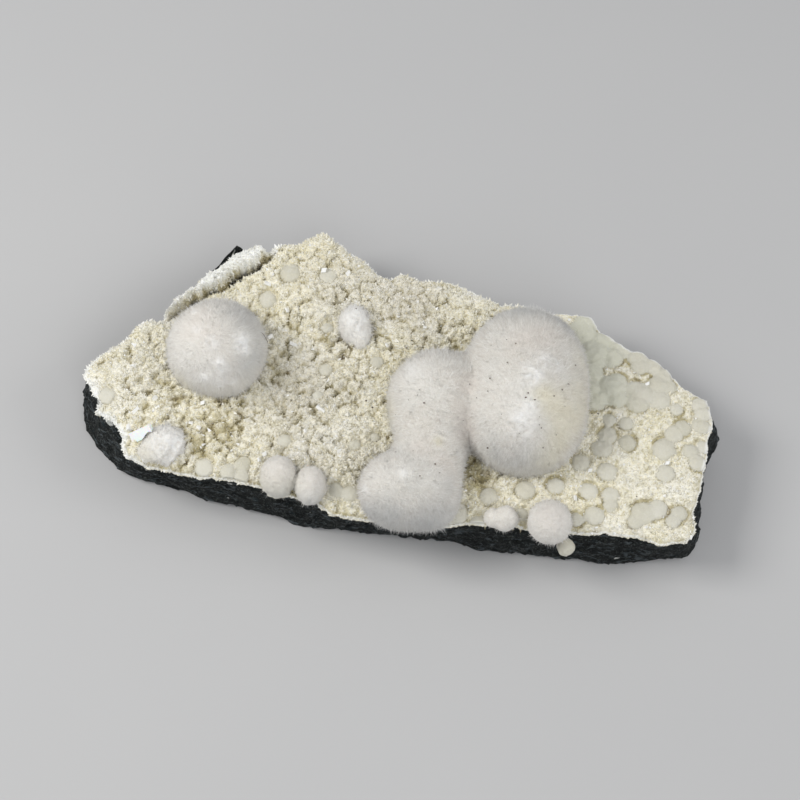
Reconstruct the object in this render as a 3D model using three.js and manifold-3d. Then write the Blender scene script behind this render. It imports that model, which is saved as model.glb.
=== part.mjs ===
// A cabinet specimen of okenite: woolly white puffballs that grew on a crust of small crystals and round
// gyrolite balls, over a broken slab of basalt. Millimetres, +Z up, lying on the slab's flat underside.
import * as THREE from "three";
import { mergeVertices } from "three/addons/utils/BufferGeometryUtils.js";
import Module from "manifold-3d";

const wasm = await Module();
wasm.setup();

// Plan positions are measured from a point near the slab's middle. The finished specimen is then moved so
// that the middle of its underside is the origin.

const SEAM = 0.3; // gap between two minerals that touch
const CRUST_HEIGHT = 16; // the crust's general level above the underside
const CRUST_THICKNESS = 3.1;
const RIM_DROP = 1.2; // how far the crust's surface rounds down at its broken edge
const RIM_REACH = 1.6;
const CRUST_STEP = 3.5; // facet size of the crust's surface
const FACET_JITTER = 0.45; // how far a facet's corner strays in plan, as a share of the step
const BED_STEP = 10; // facet size of the rock surface under the crust
const BED_ROUGHNESS = 0.6;
const PLAN_BOX = { x0: -84, x1: 84, y0: -46, y1: 56 }; // holds the whole specimen
const SKY = 60; // a height above everything
const DEEP = -5; // a height below everything

// The crust's broken edge, seen from above, clockwise from its left end.
const CRUST_EDGE = [
  // back edge, left to right
  [-75, 7], [-74.5, 10], [-72, 12.5], [-65.5, 17.5], [-64, 20], [-60, 21.5], [-58, 21.5], [-56, 24], [-53.5, 27],
  [-50.5, 29.5], [-46.5, 33.5], [-42.5, 37], [-40, 39.5], [-37.5, 40.5], [-34.5, 41.5], [-32, 42], [-30.5, 43.5],
  [-27.5, 44.5], [-24.5, 44.5], [-19, 48], [-14, 43.5], [-12.5, 41], [-9.5, 39.5], [-4.5, 35], [-2, 34.5], [0, 36],
  [2, 36], [4.5, 34.5], [12.5, 34], [24.5, 27.5], [30.5, 27], [33, 25], [43, 24.5], [46, 23], [48.5, 19],
  [53, 15.5], [55, 13.5], [58, 13], [63.5, 9], [66.5, 4], [72.5, 0.5],
  // right end
  [73.5, -5.5], [72, -11], [71, -17], [68.5, -25.5], [67.5, -29.5], [67.3, -34],
  // front edge, right to left
  [65.5, -36.5], [59, -37], [54, -35], [46, -34], [36.5, -34], [28.5, -33], [26, -32], [16, -31.5], [4.5, -32.5],
  [-9, -30.5], [-16, -29.3], [-19, -26.5], [-25.5, -24.5], [-30, -24.3], [-32, -22], [-39, -20.3], [-47, -19.4],
  [-58.5, -17.2], [-61, -15.5], [-64, -14.2],
  // left end, where the rock shows beyond the crust
  [-65, -11.5], [-64.5, -9], [-67.5, -5], [-71.5, -2.5], [-71, 0], [-73, 4],
];

// The rock's foot, clockwise from its left end like the crust's edge.
const ROCK_FOOT = [
  // under the back edge, left to right
  [-76, 13], [-66, 16.5], [-57, 20], [-50, 26.5], [-40, 36], [-30, 39.5], [-20, 43.5], [-12, 37], [-3, 31.5],
  [14, 29.5], [26, 23.5], [43, 20.5], [50, 14], [58, 9.5], [66, 1],
  // right end
  [72.5, -4], [73, -9], [72, -13], [70.5, -20], [69.7, -27], [69.2, -32.8],
  // front, right to left
  [56, -34.2], [49, -34.7], [36.5, -33.3], [21, -31.7], [15.5, -30.7], [13.5, -29.6], [7, -28.4], [-12, -26.2],
  [-24, -25], [-30, -21.8], [-36, -20.8], [-47.5, -17.7], [-56, -13.7], [-63, -12], [-66, -11.7],
  // left end
  [-71.5, -6.3], [-75.5, -1.3], [-77.2, 3.6], [-77.6, 9.2],
];

// Broad swells and hollows of the crust.
const SWELLS = [
  { x: -19, y: 36, reach: 10, rise: 2.5 },
  { x: -62, y: 8, reach: 13, rise: 1.0 },
  { x: -28, y: 4, reach: 13, rise: -1.8 },
  { x: 50, y: 5, reach: 18, rise: 1.2 },
  { x: 20, y: -18, reach: 7, rise: -0.8 },
];
const LUMP_CELL = 5; // spacing of the cauliflower lumps
const LUMP_RISE = 2.5;
const GRAIN_RISE = 0.7; // unevenness from one crystal to the next
const SLIVER = 0.2; // facets narrower than this are merged with the next

// A lip of crust stands up along the back left edge, with a crevice at its foot.
const CREVICE = [[-56.5, 22], [-53, 25.2], [-49.5, 27.8], [-44, 30.9], [-39, 34.3], [-34.8, 36.8], [-31.5, 40.5]];
const CREVICE_WIDTH = 1.4;
const CREVICE_FLOOR = 13.8; // height of the crevice's floor
const LIP_RISE = 3.2;
const LIP_WIDTH = 7; // the lip reaches no further than this outside the crevice
const LIP_TAPER = 9; // it comes up to its full height over this distance from the crevice's left end

// The larger gyrolite balls that stand in the crust: [x, y, radius].
const GYROLITE = [
  // the field on the right, from the back
  [48, 16, 2.6], [50.5, 11.5, 2.6], [57, 9, 2.1], [45, 7, 3.1], [51.5, 5, 2.1], [61, 4, 2.4], [55.5, 3, 2.1],
  [46, 0.5, 3.5], [51, 0.5, 2.6], [56, -1, 2.6], [61, 0, 2.6], [66, -7.5, 2], [64, -9, 2.1], [70.5, -6.5, 2.1],
  [48.5, -9.5, 2.1], [53, -11.5, 2.1], [47, -13, 2.4], [61.5, -13, 2.7], [42, -16.5, 2.1], [48, -19, 2.3],
  [61.5, -19.5, 2.1], [36, -22.5, 2.1], [29, -23.5, 2.4], [43.5, -24, 2.1], [48.5, -25, 2], [44.5, -30, 2.2],
  [56, -29.5, 2.8], [59, -28.5, 2.3],
  // beside the lower front puffball
  [20.5, -25, 2.3], [13, -29, 2.5], [-15, -23.5, 2.1],
  // the left half
  [-40, -18, 2], [-45.5, -17, 2.3], [-69, 1.5, 2.1], [-26.5, 35, 2.7], [-32, 28.5, 2.2], [-17.5, 34, 2.1],
];
const GYROLITE_FLATNESS = 0.42; // height of a ball's flat top above the crust, as a share of its radius
const CALM_MARGIN = 1.5; // the crust is even under a gyrolite ball and this far round it
const CALM_RELIEF = 0.3; // the share of its relief that it keeps there

// A puffball's lobe: its middle and its three radii.
const round = (x, y, z, radius) => [x, y, z, radius, radius, radius];

const PUFFBALLS = {
  okenite_cluster: [
    round(29.5, 6.3, 21.6, 14.2), round(28.8, -6.8, 21.4, 14.8), round(9, -2.3, 20.5, 12.4),
    round(-0.7, -25.2, 19.2, 9.3), round(4.8, -24.8, 19.4, 9.4), round(6.5, -12, 19.5, 8),
    round(8.3, -16.5, 18.6, 6),
  ],
  okenite_ball_left: [round(-43.4, 12.3, 19.6, 12.3)],
  okenite_ball_corner: [[-54.9, -11.9, 15.2, 5.7, 5.6, 5.9], round(-58.6, -13.2, 15.4, 3.3)],
  okenite_tuft_back: [[-10.7, 20.4, 18.2, 4.3, 5, 5]],
  okenite_pair_front_left: [[-28.1, -20.7, 17.5, 4.4, 5, 5.2], [-20.6, -23.05, 17.2, 3.8, 4.5, 4.7]],
  okenite_pair_front_right: [round(21.3, -31.2, 17.2, 2.3), round(24.15, -31.4, 17.3, 3.05)],
  okenite_ball_front_right: [round(34.2, -32.7, 18.1, 5.3)],
};
const GYROLITE_UNDER_EDGE = round(38, -36.2, 12.2, 2.1);
// A cleavage plate of calcite that lies against the corner puffball's shoulder: the ends of its long middle line.
const CALCITE_PLATE = {
  from: [-62.6, -10.4, 17.1], to: [-57.6, -9.9, 20.7], width: 2.6, thickness: 1, faces: [0, -0.5, 0.87],
};

const ROCK_INSET = 0.45; // the crust's edge overhangs the rock by this much
const ROCK_LEVELS = [0, 2.2, 5.5, 9, 12, 22]; // heights of the rings of facets; the last is above the rock
const ROCK_SPACING = 6.6; // facet size along the rock's sides
const ROCK_ROUGHNESS = 1.1;
const FOOT_CHAMFER = 0.4; // the lowest ring stands back by this much
const FOOT_EASE = 2; // the foot's corners are rounded over this length
const KNOB = { x: 75.2, y: -5.5, reach: 3.6, rise: 3.5, z: 8 }; // a knob of rock on the right end
// A tooth of rock behind the lip: its tip, the two ends of its crest, and its foot inside the rock.
const TOOTH = [
  [-39.8, 41.9, 20], [-47, 35.6, 15.6], [-36.6, 42.2, 15.4], [-46, 33, 9.5], [-38, 38, 9.5], [-40, 42.3, 9.5],
];

// ---- Surfaces ----

// A repeatable number from 0 to 1 for each pair of whole numbers.
function chance(i, j) {
  let h = (Math.imul(i, 374761393) + Math.imul(j, 668265263)) | 0;
  h = Math.imul(h ^ (h >>> 13), 1274126177);
  return ((h ^ (h >>> 16)) >>> 0) / 4294967296;
}

// Round-topped lumps, one in each cell of a jittered grid: 0 between them and 1 on their tops.
function lumps(x, y, cell) {
  const ci = Math.floor(x / cell);
  const cj = Math.floor(y / cell);
  let nearest = Infinity;
  for (let i = ci - 1; i <= ci + 1; i++)
    for (let j = cj - 1; j <= cj + 1; j++) {
      const px = (i + chance(i, j)) * cell;
      const py = (j + chance(i + 57, j - 31)) * cell;
      nearest = Math.min(nearest, Math.hypot(x - px, y - py));
    }
  return Math.sqrt(Math.max(0, 1 - (nearest / cell) ** 2));
}

function swell(x, y) {
  return SWELLS.reduce(
    (sum, s) => sum + s.rise * Math.exp(-((x - s.x) ** 2 + (y - s.y) ** 2) / (2 * s.reach ** 2)), 0);
}

// The point of a line of points, closed or open, that is nearest to a place.
function nearestOnLine(x, y, line, closed) {
  const last = closed ? line.length : line.length - 1;
  let best = { distance: Infinity };
  for (let k = 0; k < last; k++) {
    const [ax, ay] = line[k];
    const [bx, by] = line[(k + 1) % line.length];
    const along = ((x - ax) * (bx - ax) + (y - ay) * (by - ay)) / ((bx - ax) ** 2 + (by - ay) ** 2);
    const t = Math.min(1, Math.max(0, along));
    const point = { x: ax + t * (bx - ax), y: ay + t * (by - ay) };
    const distance = Math.hypot(x - point.x, y - point.y);
    if (distance < best.distance) best = { ...point, distance };
  }
  return best;
}

// How far the lip stands above the crust.
function lip(x, y) {
  const foot = nearestOnLine(x, y, CREVICE, false);
  const [[startX, startY], [endX, endY]] = [CREVICE[0], CREVICE.at(-1)];
  const outside = (endX - startX) * (y - startY) > (endY - startY) * (x - startX);
  const taper = Math.min(1, Math.hypot(foot.x - startX, foot.y - startY) / LIP_TAPER);
  return outside && foot.distance < LIP_WIDTH ? LIP_RISE * taper : 0;
}

function isCalm(x, y) {
  return GYROLITE.some(([gx, gy, radius]) => Math.hypot(x - gx, y - gy) < radius + CALM_MARGIN);
}

function crustTop(x, y) {
  const rim = Math.exp(-nearestOnLine(x, y, CRUST_EDGE, true).distance / RIM_REACH);
  const lumpy = LUMP_RISE * (lumps(x, y, LUMP_CELL) - 0.6) * (isCalm(x, y) ? CALM_RELIEF : 1);
  const grain = GRAIN_RISE * (chance(Math.round(x * 3), Math.round(y * 3)) - 0.5);
  const raised = lip(x, y);
  const relief = raised === 0 ? (lumpy + grain) * (1 - rim) - RIM_DROP * rim : raised + grain;
  return CRUST_HEIGHT + swell(x, y) + relief;
}

function bedTop(x, y) {
  const uneven = BED_ROUGHNESS * (chance(Math.round(x), Math.round(y)) - 0.5);
  return CRUST_HEIGHT - CRUST_THICKNESS + swell(x, y) + uneven;
}

// ---- Solids ----

function solidOf(geometry) {
  const bare = new THREE.BufferGeometry().setAttribute("position", geometry.getAttribute("position"));
  if (geometry.index) bare.setIndex(geometry.index);
  const merged = mergeVertices(bare, 1e-4);
  const mesh = new wasm.Mesh({
    numProp: 3,
    vertProperties: merged.attributes.position.array,
    triVerts: new Uint32Array(merged.index.array),
  });
  return new wasm.Manifold(mesh);
}

function geometryOf(solid) {
  const mesh = solid.getMesh();
  return new THREE.BufferGeometry()
    .setAttribute("position", new THREE.BufferAttribute(mesh.vertProperties, mesh.numProp))
    .setIndex(new THREE.BufferAttribute(mesh.triVerts, 1));
}

// The largest of a solid's separate bodies: cutting can shave off loose flakes.
function mainBody(solid) {
  return solid.decompose().reduce((a, b) => (a.volume() > b.volume() ? a : b));
}

// A block over the plan box, with a flat floor and the given surface on top.
function blockUnder(surface, step, floor) {
  const { x0, x1, y0, y1 } = PLAN_BOX;
  const nx = Math.round((x1 - x0) / step);
  const ny = Math.round((y1 - y0) / step);
  const box = new THREE.BoxGeometry(x1 - x0, y1 - y0, 1, nx, ny, 1);
  const position = box.getAttribute("position");
  for (let k = 0; k < position.count; k++) {
    let x = position.getX(k) + (x0 + x1) / 2;
    let y = position.getY(k) + (y0 + y1) / 2;
    const inside = x > x0 + 0.1 && x < x1 - 0.1 && y > y0 + 0.1 && y < y1 - 0.1;
    if (inside) {
      const [i, j] = [Math.round((x - x0) / step), Math.round((y - y0) / step)];
      x += step * FACET_JITTER * (chance(i, j) - 0.5);
      y += step * FACET_JITTER * (chance(j + 19, i + 5) - 0.5);
    }
    position.setXYZ(k, x, y, position.getZ(k) > 0 ? surface(x, y) : floor);
  }
  return solidOf(box);
}

function joined(solids) {
  return solids.reduce((whole, one) => whole.add(one));
}

function prism(outline, bottom, top) {
  const shape = new THREE.Shape(outline.map(([x, y]) => new THREE.Vector2(x, y)));
  const geometry = new THREE.ExtrudeGeometry(shape, { depth: top - bottom, bevelEnabled: false });
  geometry.translate(0, 0, bottom);
  return solidOf(geometry);
}

function ball([x, y, z, ...radii], detail, grow = 0) {
  const geometry = new THREE.IcosahedronGeometry(1, detail);
  geometry.rotateZ(x + y); // no two balls show the same facets
  geometry.scale(...radii.map((radius) => radius + grow));
  geometry.translate(x, y, z);
  return solidOf(geometry);
}

// A gyrolite ball as far as it shows: low, with a flat top.
function button(x, y, radius) {
  const height = 2 * GYROLITE_FLATNESS * radius;
  const geometry = new THREE.CylinderGeometry(0.62 * radius, 1.2 * radius, height, 6);
  geometry.rotateX(Math.PI / 2);
  geometry.rotateZ(x * y);
  geometry.translate(x, y, CRUST_HEIGHT + swell(x, y));
  return solidOf(geometry);
}

// The crevice, open at the top.
function crevice() {
  const walls = CREVICE.slice(1).map(([bx, by], k) => {
    const [ax, ay] = CREVICE[k];
    const geometry = new THREE.BoxGeometry(Math.hypot(bx - ax, by - ay) + 0.5, CREVICE_WIDTH, SKY - CREVICE_FLOOR);
    geometry.rotateZ(Math.atan2(by - ay, bx - ax));
    geometry.translate((ax + bx) / 2, (ay + by) / 2, (SKY + CREVICE_FLOOR) / 2);
    return solidOf(geometry);
  });
  return joined(walls);
}

// Each point's average with its neighbours on a closed line, over about the given number of steps.
function eased(points, steps) {
  return points.map((_, k) => {
    const sum = { x: 0, y: 0, weight: 0 };
    for (let step = -2 * steps; step <= 2 * steps; step++) {
      const point = points[(k + step + points.length) % points.length];
      const weight = Math.exp(-0.5 * (step / steps) ** 2);
      sum.x += weight * point.x;
      sum.y += weight * point.y;
      sum.weight += weight;
    }
    return { x: sum.x / sum.weight, y: sum.y / sum.weight };
  });
}

// The crust's edge walked round at even spacing: the way out at each step and the rock's foot below it.
function walkEdge(spacing) {
  const fine = 4; // the foot is found in steps this much smaller
  const line = new THREE.Shape(CRUST_EDGE.map(([x, y]) => new THREE.Vector2(x, y)));
  line.closePath();
  const count = Math.round(line.getLength() / spacing);
  const edge = line.getSpacedPoints(fine * count).slice(0, fine * count);
  const steps = Math.round((FOOT_EASE * fine) / spacing);
  const feet = eased(eased(edge, steps).map(({ x, y }) => nearestOnLine(x, y, ROCK_FOOT, true)), steps);
  return Array.from({ length: count }, (_, k) => {
    const [here, next, before] = [k, k + 1, k - 1 + count].map((n) => edge[fine * (n % count)]);
    const out = new THREE.Vector2(-(next.y - before.y), next.x - before.x).normalize();
    return { x: here.x, y: here.y, out, foot: feet[fine * k] };
  });
}

// Where the rock's side is at one height below a place on the crust's edge.
function sidePoint(place, level, index) {
  const z = ROCK_LEVELS[level];
  const drop = Math.max(0, 1 - z / CRUST_HEIGHT);
  const rough = ROCK_ROUGHNESS * (chance(index, level + 7) - 0.5);
  const chamfer = level === 0 ? FOOT_CHAMFER : 0;
  const knob = KNOB.rise * Math.exp(
    -((place.x - KNOB.x) ** 2 + (place.y - KNOB.y) ** 2) / (2 * KNOB.reach ** 2) - ((z - KNOB.z) / 6) ** 2);
  const offset = rough + knob - chamfer - ROCK_INSET * (1 - drop);
  const x = place.x + (place.foot.x - place.x) * drop + place.out.x * offset;
  const y = place.y + (place.foot.y - place.y) * drop + place.out.y * offset;
  return [x, y, z];
}

// Rings of points round the rock, joined into a closed skin with flat ends.
function rockSides(grow = 0) {
  const places = walkEdge(ROCK_SPACING);
  const count = places.length;
  const points = [];
  ROCK_LEVELS.forEach((_, level) => {
    places.forEach((place, index) => {
      const [x, y, z] = sidePoint(place, level, index);
      points.push(x + place.out.x * grow, y + place.out.y * grow, z);
    });
  });
  const faces = [];
  for (let level = 0; level < ROCK_LEVELS.length - 1; level++)
    for (let k = 0; k < count; k++) {
      const [a, b] = [level * count + k, level * count + ((k + 1) % count)];
      faces.push(a, a + count, b, b, a + count, b + count);
    }
  for (const level of [0, ROCK_LEVELS.length - 1]) {
    const start = level * count;
    const ring = places.map((_, k) => new THREE.Vector2(points[3 * (start + k)], points[3 * (start + k) + 1]));
    for (const [a, b, c] of THREE.ShapeUtils.triangulateShape(ring, []))
      faces.push(...(level === 0 ? [start + a, start + c, start + b] : [start + a, start + b, start + c]));
  }
  const geometry = new THREE.BufferGeometry();
  geometry.setAttribute("position", new THREE.Float32BufferAttribute(points, 3));
  geometry.setIndex(faces);
  return solidOf(geometry);
}

function tooth(grow = 0) {
  const middle = TOOTH.reduce((sum, point) => sum.add(new THREE.Vector3(...point)), new THREE.Vector3());
  middle.divideScalar(TOOTH.length);
  const corners = TOOTH.map((point) => {
    const arm = new THREE.Vector3(...point).sub(middle);
    return arm.setLength(arm.length() + 2 * grow).add(middle).toArray();
  });
  return wasm.Manifold.hull(corners);
}

function calcitePlate(grow = 0) {
  const [from, to] = [CALCITE_PLATE.from, CALCITE_PLATE.to].map((end) => new THREE.Vector3(...end));
  const along = to.clone().sub(from);
  const size = [along.length(), CALCITE_PLATE.thickness, CALCITE_PLATE.width].map((s) => s + 2 * grow);
  along.normalize();
  const across = new THREE.Vector3(...CALCITE_PLATE.faces).cross(along).normalize();
  const through = across.clone().cross(along);
  const geometry = new THREE.BoxGeometry(...size);
  geometry.applyMatrix4(new THREE.Matrix4().makeBasis(along, through, across));
  geometry.translate(...from.add(to).divideScalar(2).toArray());
  return solidOf(geometry);
}

// ---- The minerals, from the rock up ----

const bed = blockUnder(bedTop, BED_STEP, DEEP);
const bedWithSeam = blockUnder((x, y) => bedTop(x, y) + SEAM, BED_STEP, DEEP);

const basalt = mainBody(rockSides().intersect(bed).add(tooth()));

// How finely a puffball is faceted, by its radius.
function detailOf(radius) {
  if (radius > 8.5) return 3;
  return radius > 5 ? 2 : 1;
}

// The hollow that a puffball fills is one step coarser, and so much wider that its flat faces clear the ball.
function socket(lobe) {
  const radius = Math.max(...lobe.slice(3));
  const detail = Math.max(1, detailOf(radius) - 1);
  const flatness = (0.27 * radius) / (detail + 1) ** 2;
  return ball(lobe, detail, SEAM + flatness);
}

const puffballs = {};
for (const [name, parts] of Object.entries(PUFFBALLS))
  puffballs[name] = joined(parts.map((part) => ball(part, detailOf(part[3])))).subtract(bedWithSeam);
const sockets = joined(Object.values(PUFFBALLS).flat().map(socket));

const plate = calcitePlate().subtract(sockets).subtract(bedWithSeam);

const rockWithSeam = rockSides(SEAM).intersect(bedWithSeam);
const gyroliteUnderEdge = ball(GYROLITE_UNDER_EDGE, 1).subtract(sockets).subtract(rockWithSeam);

// The crust: its surface and its gyrolite balls, less the rock below and a hollow for all that stands in it.
let crust = blockUnder(crustTop, CRUST_STEP, 0).intersect(prism(CRUST_EDGE, 0, SKY));
for (const [x, y, radius] of GYROLITE) crust = crust.add(button(x, y, radius));
crust = crust.simplify(SLIVER).subtract(joined([bedWithSeam, sockets, tooth(SEAM), calcitePlate(SEAM), crevice()]));
crust = mainBody(crust.subtract(ball(GYROLITE_UNDER_EDGE, 1, 2 * SEAM)).simplify(SLIVER / 4));

// ---- The specimen ----

const finish = (color, roughness) => new THREE.MeshStandardMaterial({ color, roughness, metalness: 0 });
const BASALT = finish("#3b4140", 0.9);
const CRUST = finish("#d9d2b6", 0.55);
const OKENITE = finish("#ece8e0", 0.95);
const GYROLITE_GREEN = finish("#cfccb8", 0.4);
const CALCITE = finish("#f4f4f2", 0.25);

const specimen = new THREE.Group();

function place(name, solid, material) {
  const mesh = new THREE.Mesh(geometryOf(solid), material);
  mesh.name = name;
  specimen.add(mesh);
}

place("basalt_matrix", basalt, BASALT);
place("drusy_crust", crust, CRUST);
for (const [name, solid] of Object.entries(puffballs)) place(name, mainBody(solid), OKENITE);
place("gyrolite_ball_front", mainBody(gyroliteUnderEdge), GYROLITE_GREEN);
place("calcite_plate", mainBody(plate), CALCITE);

const box = new THREE.Box3().setFromObject(specimen);
const middle = box.getCenter(new THREE.Vector3());
specimen.position.set(-middle.x, -middle.y, -box.min.z);

export default specimen;
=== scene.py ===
"""Looks of the okenite specimen: fibrous white balls on a crust of small crystals over broken basalt.

Shapes are worked out in millimetres, in the plan that the CAD part was surveyed in, and are moved into the
row frame when their meshes are made."""

import math

import bmesh
import bpy
import numpy as np
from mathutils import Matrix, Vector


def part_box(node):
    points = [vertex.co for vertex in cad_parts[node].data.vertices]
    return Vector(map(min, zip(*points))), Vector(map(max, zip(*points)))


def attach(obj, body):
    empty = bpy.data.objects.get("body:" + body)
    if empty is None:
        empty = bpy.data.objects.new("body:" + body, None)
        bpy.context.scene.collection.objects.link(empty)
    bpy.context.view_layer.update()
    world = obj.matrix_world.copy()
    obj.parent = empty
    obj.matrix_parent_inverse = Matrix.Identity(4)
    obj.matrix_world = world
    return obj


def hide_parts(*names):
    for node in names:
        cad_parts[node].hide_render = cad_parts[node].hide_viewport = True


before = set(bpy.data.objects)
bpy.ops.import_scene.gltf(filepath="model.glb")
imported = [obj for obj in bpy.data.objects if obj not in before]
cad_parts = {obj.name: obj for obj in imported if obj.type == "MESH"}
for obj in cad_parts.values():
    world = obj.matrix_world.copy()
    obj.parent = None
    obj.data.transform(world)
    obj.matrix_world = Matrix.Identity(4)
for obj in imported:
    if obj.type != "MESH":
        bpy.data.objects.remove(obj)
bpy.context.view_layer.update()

MM = 0.001
FAR = 1e9
UP = np.array([0.0, 0.0, 1.0])

# ---- The specimen's plan, as in the CAD part ----

CRUST_EDGE = np.array([
    # back edge, left to right
    (-75, 7), (-74.5, 10), (-72, 12.5), (-65.5, 17.5), (-64, 20), (-60, 21.5), (-58, 21.5), (-56, 24),
    (-53.5, 27), (-50.5, 29.5), (-46.5, 33.5), (-42.5, 37), (-40, 39.5), (-37.5, 40.5), (-34.5, 41.5),
    (-32, 42), (-30.5, 43.5), (-27.5, 44.5), (-24.5, 44.5), (-19, 48), (-14, 43.5), (-12.5, 41),
    (-9.5, 39.5), (-4.5, 35), (-2, 34.5), (0, 36), (2, 36), (4.5, 34.5), (12.5, 34), (24.5, 27.5),
    (30.5, 27), (33, 25), (43, 24.5), (46, 23), (48.5, 19), (53, 15.5), (55, 13.5), (58, 13), (63.5, 9),
    (66.5, 4), (72.5, 0.5),
    # right end
    (73.5, -5.5), (72, -11), (71, -17), (68.5, -25.5), (67.5, -29.5), (67.3, -34),
    # front edge, right to left
    (65.5, -36.5), (59, -37), (54, -35), (46, -34), (36.5, -34), (28.5, -33), (26, -32), (16, -31.5),
    (4.5, -32.5), (-9, -30.5), (-16, -29.3), (-19, -26.5), (-25.5, -24.5), (-30, -24.3), (-32, -22),
    (-39, -20.3), (-47, -19.4), (-58.5, -17.2), (-61, -15.5), (-64, -14.2),
    # left end
    (-65, -11.5), (-64.5, -9), (-67.5, -5), (-71.5, -2.5), (-71, 0), (-73, 4),
], float)
SWELLS = [  # x, y, reach, rise
    (-19, 36, 10, 2.5), (-62, 8, 13, 1.0), (-60.5, 20.5, 2.2, 1.8), (-28, 4, 13, -1.8), (50, 5, 18, 1.2),
    (20, -18, 7, -0.8),
]
CREVICE = np.array([
    (-56.5, 22), (-53, 25.2), (-49.5, 27.8), (-44, 30.9), (-39, 34.3), (-34.8, 36.8), (-31.5, 40.5),
], float)
CRACKS = [  # where the crevice is open: x, y, reach, strength
    (-35.7, 37.0, 1.7, 1), (-37.9, 35.3, 1.4, 1), (-40.5, 33.6, 1.4, 1), (-45.5, 30.8, 1.1, 1),
    (-50, 28, 0.9, 0.6),
]
ROCK_FOOT = np.array([
    # under the back edge, left to right
    (-76, 13), (-66, 16.5), (-57, 20), (-50, 26.5), (-40, 36), (-30, 39.5), (-20, 43.5), (-12, 37),
    (-3, 31.5), (14, 29.5), (26, 23.5), (43, 20.5), (50, 14), (58, 9.5), (66, 1),
    # right end
    (72.5, -4), (73, -9), (72, -13), (71.2, -20), (70.6, -27), (70, -33),
    # front, right to left
    (56, -34.2), (49, -34.7), (36.5, -33.3), (21, -31.7), (15.5, -30.7), (13.5, -29.6), (7, -28.4),
    (-12, -26.2), (-24, -25), (-30, -21.8), (-36, -20.8), (-47.5, -17.7), (-56, -13.7), (-63, -12),
    (-66, -11.7),
    # left end
    (-71.5, -6.3), (-75.5, -1.3), (-77.2, 3.6), (-77.6, 9.2),
], float)
KNOB = {"x": 75.2, "y": -5.5, "z": 8, "reach": 4.4, "rise": 3.0}
TOOTH = [  # the tooth of rock behind the lip: its tip, the ends of its crest, its foot inside the rock
    (-39.8, 41.9, 20), (-47, 35.6, 15.6), (-36.6, 42.2, 15.4), (-46, 33, 9.5), (-38, 38, 9.5),
    (-40, 42.3, 9.5),
]


def ball(x, y, z, radius, blend=0.0):
    """A round lobe: centre, three radii to the fibres' tips, and how softly it joins the ones before it."""
    return (x, y, z, radius, radius, radius, blend)


PUFFBALLS = {
    "okenite_cluster": [
        ball(29.5, 6.3, 21.6, 14.2), ball(28.8, -6.8, 21.4, 14.8, 9), ball(9, -2.3, 20.5, 12.4, 4),
        ball(-0.7, -25.2, 19.2, 9.3, 2), ball(4.8, -24.8, 19.4, 9.4, 4), ball(6.7, -12.5, 20.2, 8, 5),
        ball(7.7, -17.5, 19.7, 6.7, 5), ball(7.3, -27.9, 17.4, 6.0, 3),
    ],
    "okenite_ball_left": [ball(-43.4, 12.3, 19.6, 12.3)],
    "okenite_ball_corner": [(-54.9, -11.9, 15.2, 5.7, 5.6, 5.9, 0), ball(-58.6, -13.2, 15.4, 3.3, 1.5)],
    "okenite_tuft_back": [(-10.9, 20.6, 16.9, 4.4, 5.3, 5.6, 0), (-9.3, 17.2, 16.6, 3.0, 3.6, 3.6, 2)],
    "okenite_pair_front_left": [
        (-28.1, -20.7, 17.5, 4.4, 5, 5.2, 0), (-20.6, -23.05, 17.2, 3.8, 4.5, 4.7, 0.4),
    ],
    "okenite_pair_front_right": [ball(21.3, -31.2, 17.2, 2.3), ball(24.15, -31.4, 17.3, 3.05, 0.7)],
    "okenite_ball_front_right": [ball(34.2, -32.7, 18.1, 5.3)],
}
FUR = {  # how far the felt lies under the fibres' tips, fibres to a square mm, their width, the lumps' height
    "okenite_cluster": (0.65, 11, 0.08, 0.3),
    "okenite_ball_left": (0.7, 10, 0.085, 0.45),
    "okenite_ball_corner": (0.6, 8, 0.09, 0.5),
    "okenite_tuft_back": (0.9, 9, 0.075, 0.5),
    "okenite_pair_front_left": (0.2, 8, 0.075, 0.6),
    "okenite_pair_front_right": (0.2, 8, 0.075, 0.6),
    "okenite_ball_front_right": (0.25, 8, 0.075, 0.5),
}
GRANULAR = {  # height of the close round grains
    "okenite_pair_front_left": 0.6, "okenite_pair_front_right": 0.5, "okenite_ball_front_right": 0.5,
}
RIPPLED = {"okenite_ball_corner": 0.9}  # height of the ripples round the way that the fibres lean away from
COMBED_FROM = {"okenite_ball_corner": (-0.75, 0.1, 0.65)}  # the way that the fibres lean away from
COMBED_FROM_ABOVE = (0.0, -0.3, 0.95)
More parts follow.
